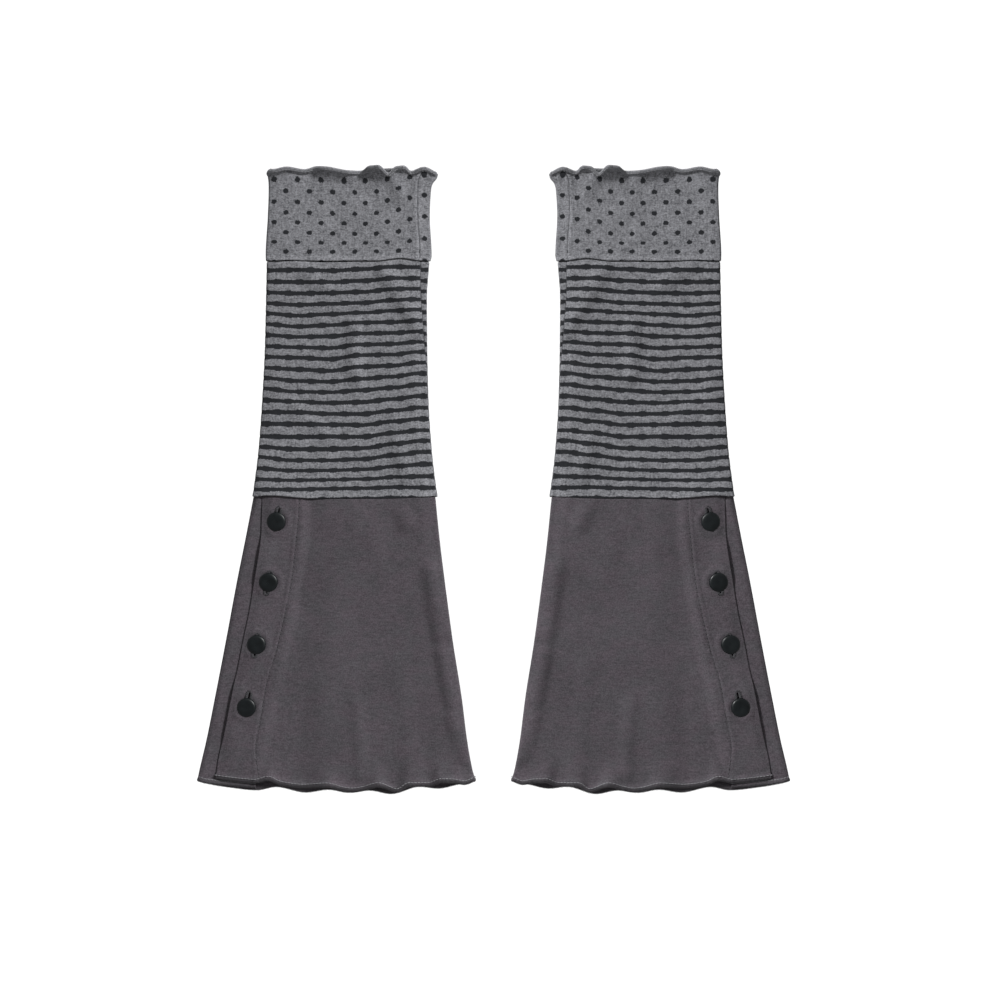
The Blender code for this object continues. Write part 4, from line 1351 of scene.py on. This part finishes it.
def model_button():
    """One button, modelled on the origin: a cap with a round shoulder on a shank."""
    sizes = bpy.context.scene.leg_warmer_button
    radius = sizes.diameter / 2
    wall = (BUTTON_HEIGHT - SHOULDER_HEIGHT) * MM
    bpy.ops.object.select_all(action="DESELECT")
    bpy.ops.mesh.primitive_cylinder_add(
        vertices=64, radius=radius, depth=wall, end_fill_type="NGON", location=(0, 0, wall / 2)
    )
    obj = bpy.context.active_object
    bpy.ops.object.transform_apply(location=True, rotation=True, scale=True)
    bpy.ops.object.mode_set(mode="EDIT")
    bpy.ops.mesh.select_mode(type="FACE")
    select_faces(obj, 1)
    for width, rise in ((0.1, 0.35), (0.2, 0.32), (0.3, 0.23), (0.4, 0.1)):
        bpy.ops.mesh.inset(thickness=sizes.shoulder * width, depth=rise * 1.15 * MM)
    for width, rise in ((0.2, 0.05 * MM), (0.3, -0.4 * sizes.dish), (0.2, -0.2 * sizes.dish)):
        bpy.ops.mesh.inset(thickness=radius * width, depth=rise)
    select_faces(obj, -1)
    collar = radius - SHANK_DIAMETER * 0.85 * MM
    for width, drop in ((collar, 0.6), (SHANK_DIAMETER * 0.35 * MM, 1.7)):
        bpy.ops.mesh.inset(thickness=width, depth=0.0)
        bpy.ops.mesh.extrude_region_move(TRANSFORM_OT_translate={"value": (0, 0, -drop * MM)})
    bpy.ops.object.mode_set(mode="OBJECT")
    bevel = obj.modifiers.new("edges", "BEVEL")
    bevel.width = 0.3 * MM
    bevel.segments = 2
    bevel.limit_method = "ANGLE"
    bevel.angle_limit = math.radians(60)
    bevel.harden_normals = False
    bpy.ops.object.modifier_apply(modifier=bevel.name)
    bpy.ops.object.shade_smooth_by_angle(angle=math.radians(35))
    return obj


def model_shank_thread():
    """The turns of thread round a shank, under the cap."""
    rings = []
    for level in (-0.9, -1.3, -1.7):
        bpy.ops.mesh.primitive_torus_add(
            major_radius=SHANK_DIAMETER * 0.62 * MM, minor_radius=0.22 * MM, major_segments=24,
            minor_segments=8, location=(0, 0, level * MM),
        )
        rings.append(bpy.context.active_object)
    turns = join("shank_turns", rings)
    bpy.ops.object.transform_apply(location=True, rotation=True, scale=True)
    return turns


def placed_copy(source, name, button, hand):
    """A copy of a shape at a button's place, with a mesh of its own."""
    mesh = source.data.copy()
    mesh.name = name
    place = to_world(np.array([button.x, button.height, FLAP_TOP + BUTTON_GAP]), hand)
    mesh.transform(Matrix.Translation(Vector(place)) @ Matrix.Diagonal((hand, 1, 1, 1)))
    if hand < 0:
        mesh.flip_normals()
    obj = bpy.data.objects.new(name, mesh)
    link(obj, "leg_warmer", hand)
    return obj


# Operators, one for each group of like pieces and one for the stage

class MakeOperator(bpy.types.Operator):
    """Base of the operators below."""

    bl_options = {"REGISTER", "UNDO"}


class LEGWARMERS_OT_stage(MakeOperator):
    """Add the floor, the lights and the camera"""

    bl_idname = "leg_warmers.stage"
    bl_label = "Stage"

    def execute(self, context):
        settings = context.scene.leg_warmer_stage
        bpy.ops.mesh.primitive_plane_add(size=settings.floor_size, location=(0, 0, 0))
        floor = context.active_object
        floor.name = "floor"
        floor.data.materials.append(floor_material())
        floor.visible_diffuse = False
        camera = bpy.data.objects.new("camera", bpy.data.cameras.new("camera"))
        camera.data.lens = 85.0
        camera.data.sensor_width = 36.0
        camera.location = (settings.camera_x, settings.camera_y, settings.camera_height)
        context.scene.collection.objects.link(camera)
        context.scene.camera = camera
        for name, hand in HANDS.items():
            group = bpy.data.collections.new(f"leg_warmer_{name}")
            context.scene.collection.children.link(group)
            cloths = bpy.data.collections.new(f"cloth_{name}")
            group.children.link(cloths)
            way = (hand * settings.key_across, settings.key_along, settings.key_up)
            key = self.add_sun(f"key_{name}", way, settings.key_strength, group)
            key.light_linking.blocker_collection = cloths
        ground = bpy.data.collections.new("ground")
        ground.objects.link(floor)
        self.add_sun("ground_light", UP, settings.ground_strength, ground)
        context.scene.world = self.add_sky(settings.sky_strength)
        context.scene.view_settings.view_transform = "Standard"
        return {"FINISHED"}

    def add_sun(self, name, way, strength, lit):
        """A soft sun that shines from one way on one group of objects."""
        way = Vector(way)
        lamp = bpy.data.lights.new(name, "SUN")
        lamp.energy = strength
        lamp.angle = math.radians(9)
        obj = bpy.data.objects.new(name, lamp)
        obj.location = way.normalized() * 2
        obj.rotation_euler = (-way).to_track_quat("-Z", "Y").to_euler()
        obj.light_linking.receiver_collection = lit
        bpy.context.scene.collection.objects.link(obj)
        return obj

    def add_sky(self, strength):
        """An even sky that is brightest near the horizon and dark below it."""
        world = bpy.data.worlds.new("studio_sky")
        world.use_nodes = True
        tree = world.node_tree
        up = parts_of(tree, add_node(tree, "ShaderNodeTexCoord").outputs["Generated"])["Z"]
        above = ranged(tree, up, 0.0, 0.3, 0.7, 0.5)
        higher = ranged(tree, up, 0.3, 1.0, 0.0, 0.17)
        level = maths(tree, "SUBTRACT", above, higher)
        level = times(tree, level, maths(tree, "GREATER_THAN", up, 0.0))
        level = times(tree, maths(tree, "MAXIMUM", level, 0.12), strength)
        sky = tree.nodes["Background"]
        sky.inputs["Color"].default_value = (1.0, 1.0, 1.0, 1.0)
        tree.links.new(level, sky.inputs["Strength"])
        return world


class LEGWARMERS_OT_cuffs(MakeOperator):
    """Add the dotted cuff bands and their overlocked tops"""

    bl_idname = "leg_warmers.cuffs"
    bl_label = "Cuffs"

    def execute(self, context):
        cloth = knit_material("dotted_melange_knit", dots, DOT_STEP_ACROSS, -DOT_STEP_DOWN, 0.3)
        thread = thread_material("grey_thread", colours().grey_thread)
        sheet = cuff_sheet()
        for name, hand in HANDS.items():
            piece = add_cloth(f"dotted_cuff_{name}", sheet, hand)
            dress(piece, cloth, [f"cuff_{name}"])
            edge = overlock(f"cuff_overlock_{name}", sheet, True, hand, 5)
            for sewn in edge:
                dress(sewn, thread)
        return {"FINISHED"}


class LEGWARMERS_OT_tubes(MakeOperator):
    """Add the striped leg tubes"""

    bl_idname = "leg_warmers.tubes"
    bl_label = "Leg tubes"

    def execute(self, context):
        cloth = knit_material("striped_melange_knit", stripes, BEAD_STEP_AT_SEAM, STRIPE_STEP, -0.4)
        sheet = tube_sheet()
        for name, hand in HANDS.items():
            piece = add_cloth(f"striped_tube_{name}", sheet, hand)
            dress(piece, cloth, [f"leg_tube_{name}"])
        return {"FINISHED"}


def flare_materials():
    """The flares' cloth, and the threads of their hems' loops and needle stitches; the needle stitches'
    pale tone is painted highlight.
    """
    tones = colours()
    return (
        shared("charcoal_jersey_cloth", jersey_material),
        shared("charcoal_thread", thread_material, tones.charcoal_thread),
        shared("pale_thread", thread_material, tones.pale_thread),
    )


class LEGWARMERS_OT_flare_backs(MakeOperator):
    """Add the flared back panels with their underlaps and overlocked hems"""

    bl_idname = "leg_warmers.flare_backs"
    bl_label = "Flared backs"

    def execute(self, context):
        cloth, thread, pale_thread = flare_materials()
        sheet = flare_back_sheet()
        for name, hand in HANDS.items():
            piece = add_cloth(f"jersey_back_{name}", sheet, hand)
            dress(piece, cloth, [f"flare_back_{name}"])
            edge = overlock(f"back_hem_overlock_{name}", sheet, False, hand, 7)
            for sewn, look in zip(edge, (thread, pale_thread)):
                dress(sewn, look)
        return {"FINISHED"}


class LEGWARMERS_OT_flare_fronts(MakeOperator):
    """Add the flared front panels with their plackets, buttonholes and sewing"""

    bl_idname = "leg_warmers.flare_fronts"
    bl_label = "Flared fronts"

    def execute(self, context):
        cloth, thread, pale_thread = flare_materials()
        border_thread = thread_material("buttonhole_thread", colours().hole_thread)
        # The needle holes' near-black threads are painted shade.
        hole_shade_thread = thread_material("bobbin_thread", colours().knit_black_and_hole_shade)
        sheet = flare_front_sheet()
        for name, hand in HANDS.items():
            piece = add_cloth(f"jersey_front_{name}", sheet, hand)
            tree = surface_of(piece)
            cut_holes(piece, hand)
            dress(piece, cloth, [f"flare_front_{name}"])
            edge, needle = overlock(f"front_hem_overlock_{name}", sheet, False, hand, 7)
            line = topstitch(f"placket_stitching_{name}", tree, hand)
            holes = needle_holes(f"placket_needle_holes_{name}", tree, hand)
            borders = [buttonhole_border(f"border_{k}", b, tree, hand) for k, b in enumerate(BUTTONS)]
            borders = join(f"buttonhole_borders_{name}", borders)
            dress(edge, thread)
            dress(needle, pale_thread)
            dress(line, thread)
            dress(holes, hole_shade_thread)
            dress(borders, border_thread)
        return {"FINISHED"}


class LEGWARMERS_OT_buttons(MakeOperator):
    """Add the eight shank buttons and the thread round their shanks"""

    bl_idname = "leg_warmers.buttons"
    bl_label = "Buttons"

    def execute(self, context):
        plastic = button_material()
        thread = thread_material("button_thread", colours().hole_thread)
        cap, turns = model_button(), model_shank_thread()
        for name, hand in HANDS.items():
            for k, button in enumerate(BUTTONS, 1):
                piece = placed_copy(cap, f"shank_button_{name}_{k}", button, hand)
                dress(piece, plastic, [f"button_{name}_{k}"])
                wound = placed_copy(turns, f"shank_thread_{name}_{k}", button, hand)
                dress(wound, thread)
        for model in (cap, turns):
            bpy.data.objects.remove(model, do_unlink=True)
        return {"FINISHED"}


MAKERS = (
    LEGWARMERS_OT_stage,
    LEGWARMERS_OT_cuffs,
    LEGWARMERS_OT_tubes,
    LEGWARMERS_OT_flare_backs,
    LEGWARMERS_OT_flare_fronts,
    LEGWARMERS_OT_buttons,
)
PROPERTY_HOLDERS = {
    "leg_warmer_cloth": ClothSizes,
    "leg_warmer_sewing": SewingSizes,
    "leg_warmer_button": ButtonSizes,
    "leg_warmer_colours": Colours,
    "leg_warmer_stage": StageSizes,
}


class LEGWARMERS_PT_panel(bpy.types.Panel):
    """The add-on's panel in the sidebar"""

    bl_idname = "LEGWARMERS_PT_panel"
    bl_label = "Leg Warmers"
    bl_space_type = "VIEW_3D"
    bl_region_type = "UI"
    bl_category = "Leg Warmers"

    def draw(self, context):
        for holder in PROPERTY_HOLDERS:
            group = getattr(context.scene, holder)
            box = self.layout.box()
            for name in group.bl_rna.properties.keys():
                if name not in ("rna_type", "name"):
                    box.prop(group, name)
        for maker in MAKERS:
            self.layout.operator(maker.bl_idname)


CLASSES = (*PROPERTY_HOLDERS.values(), *MAKERS, LEGWARMERS_PT_panel)


def register():
    for each in CLASSES:
        bpy.utils.register_class(each)
    for holder, group in PROPERTY_HOLDERS.items():
        setattr(bpy.types.Scene, holder, bpy.props.PointerProperty(type=group))


def unregister():
    for holder in PROPERTY_HOLDERS:
        delattr(bpy.types.Scene, holder)
    for each in reversed(CLASSES):
        bpy.utils.unregister_class(each)


def main():
    register()
    bpy.ops.leg_warmers.stage()
    bpy.ops.leg_warmers.cuffs()
    bpy.ops.leg_warmers.tubes()
    bpy.ops.leg_warmers.flare_backs()
    bpy.ops.leg_warmers.flare_fronts()
    bpy.ops.leg_warmers.buttons()


if __name__ == "__main__":
    main()
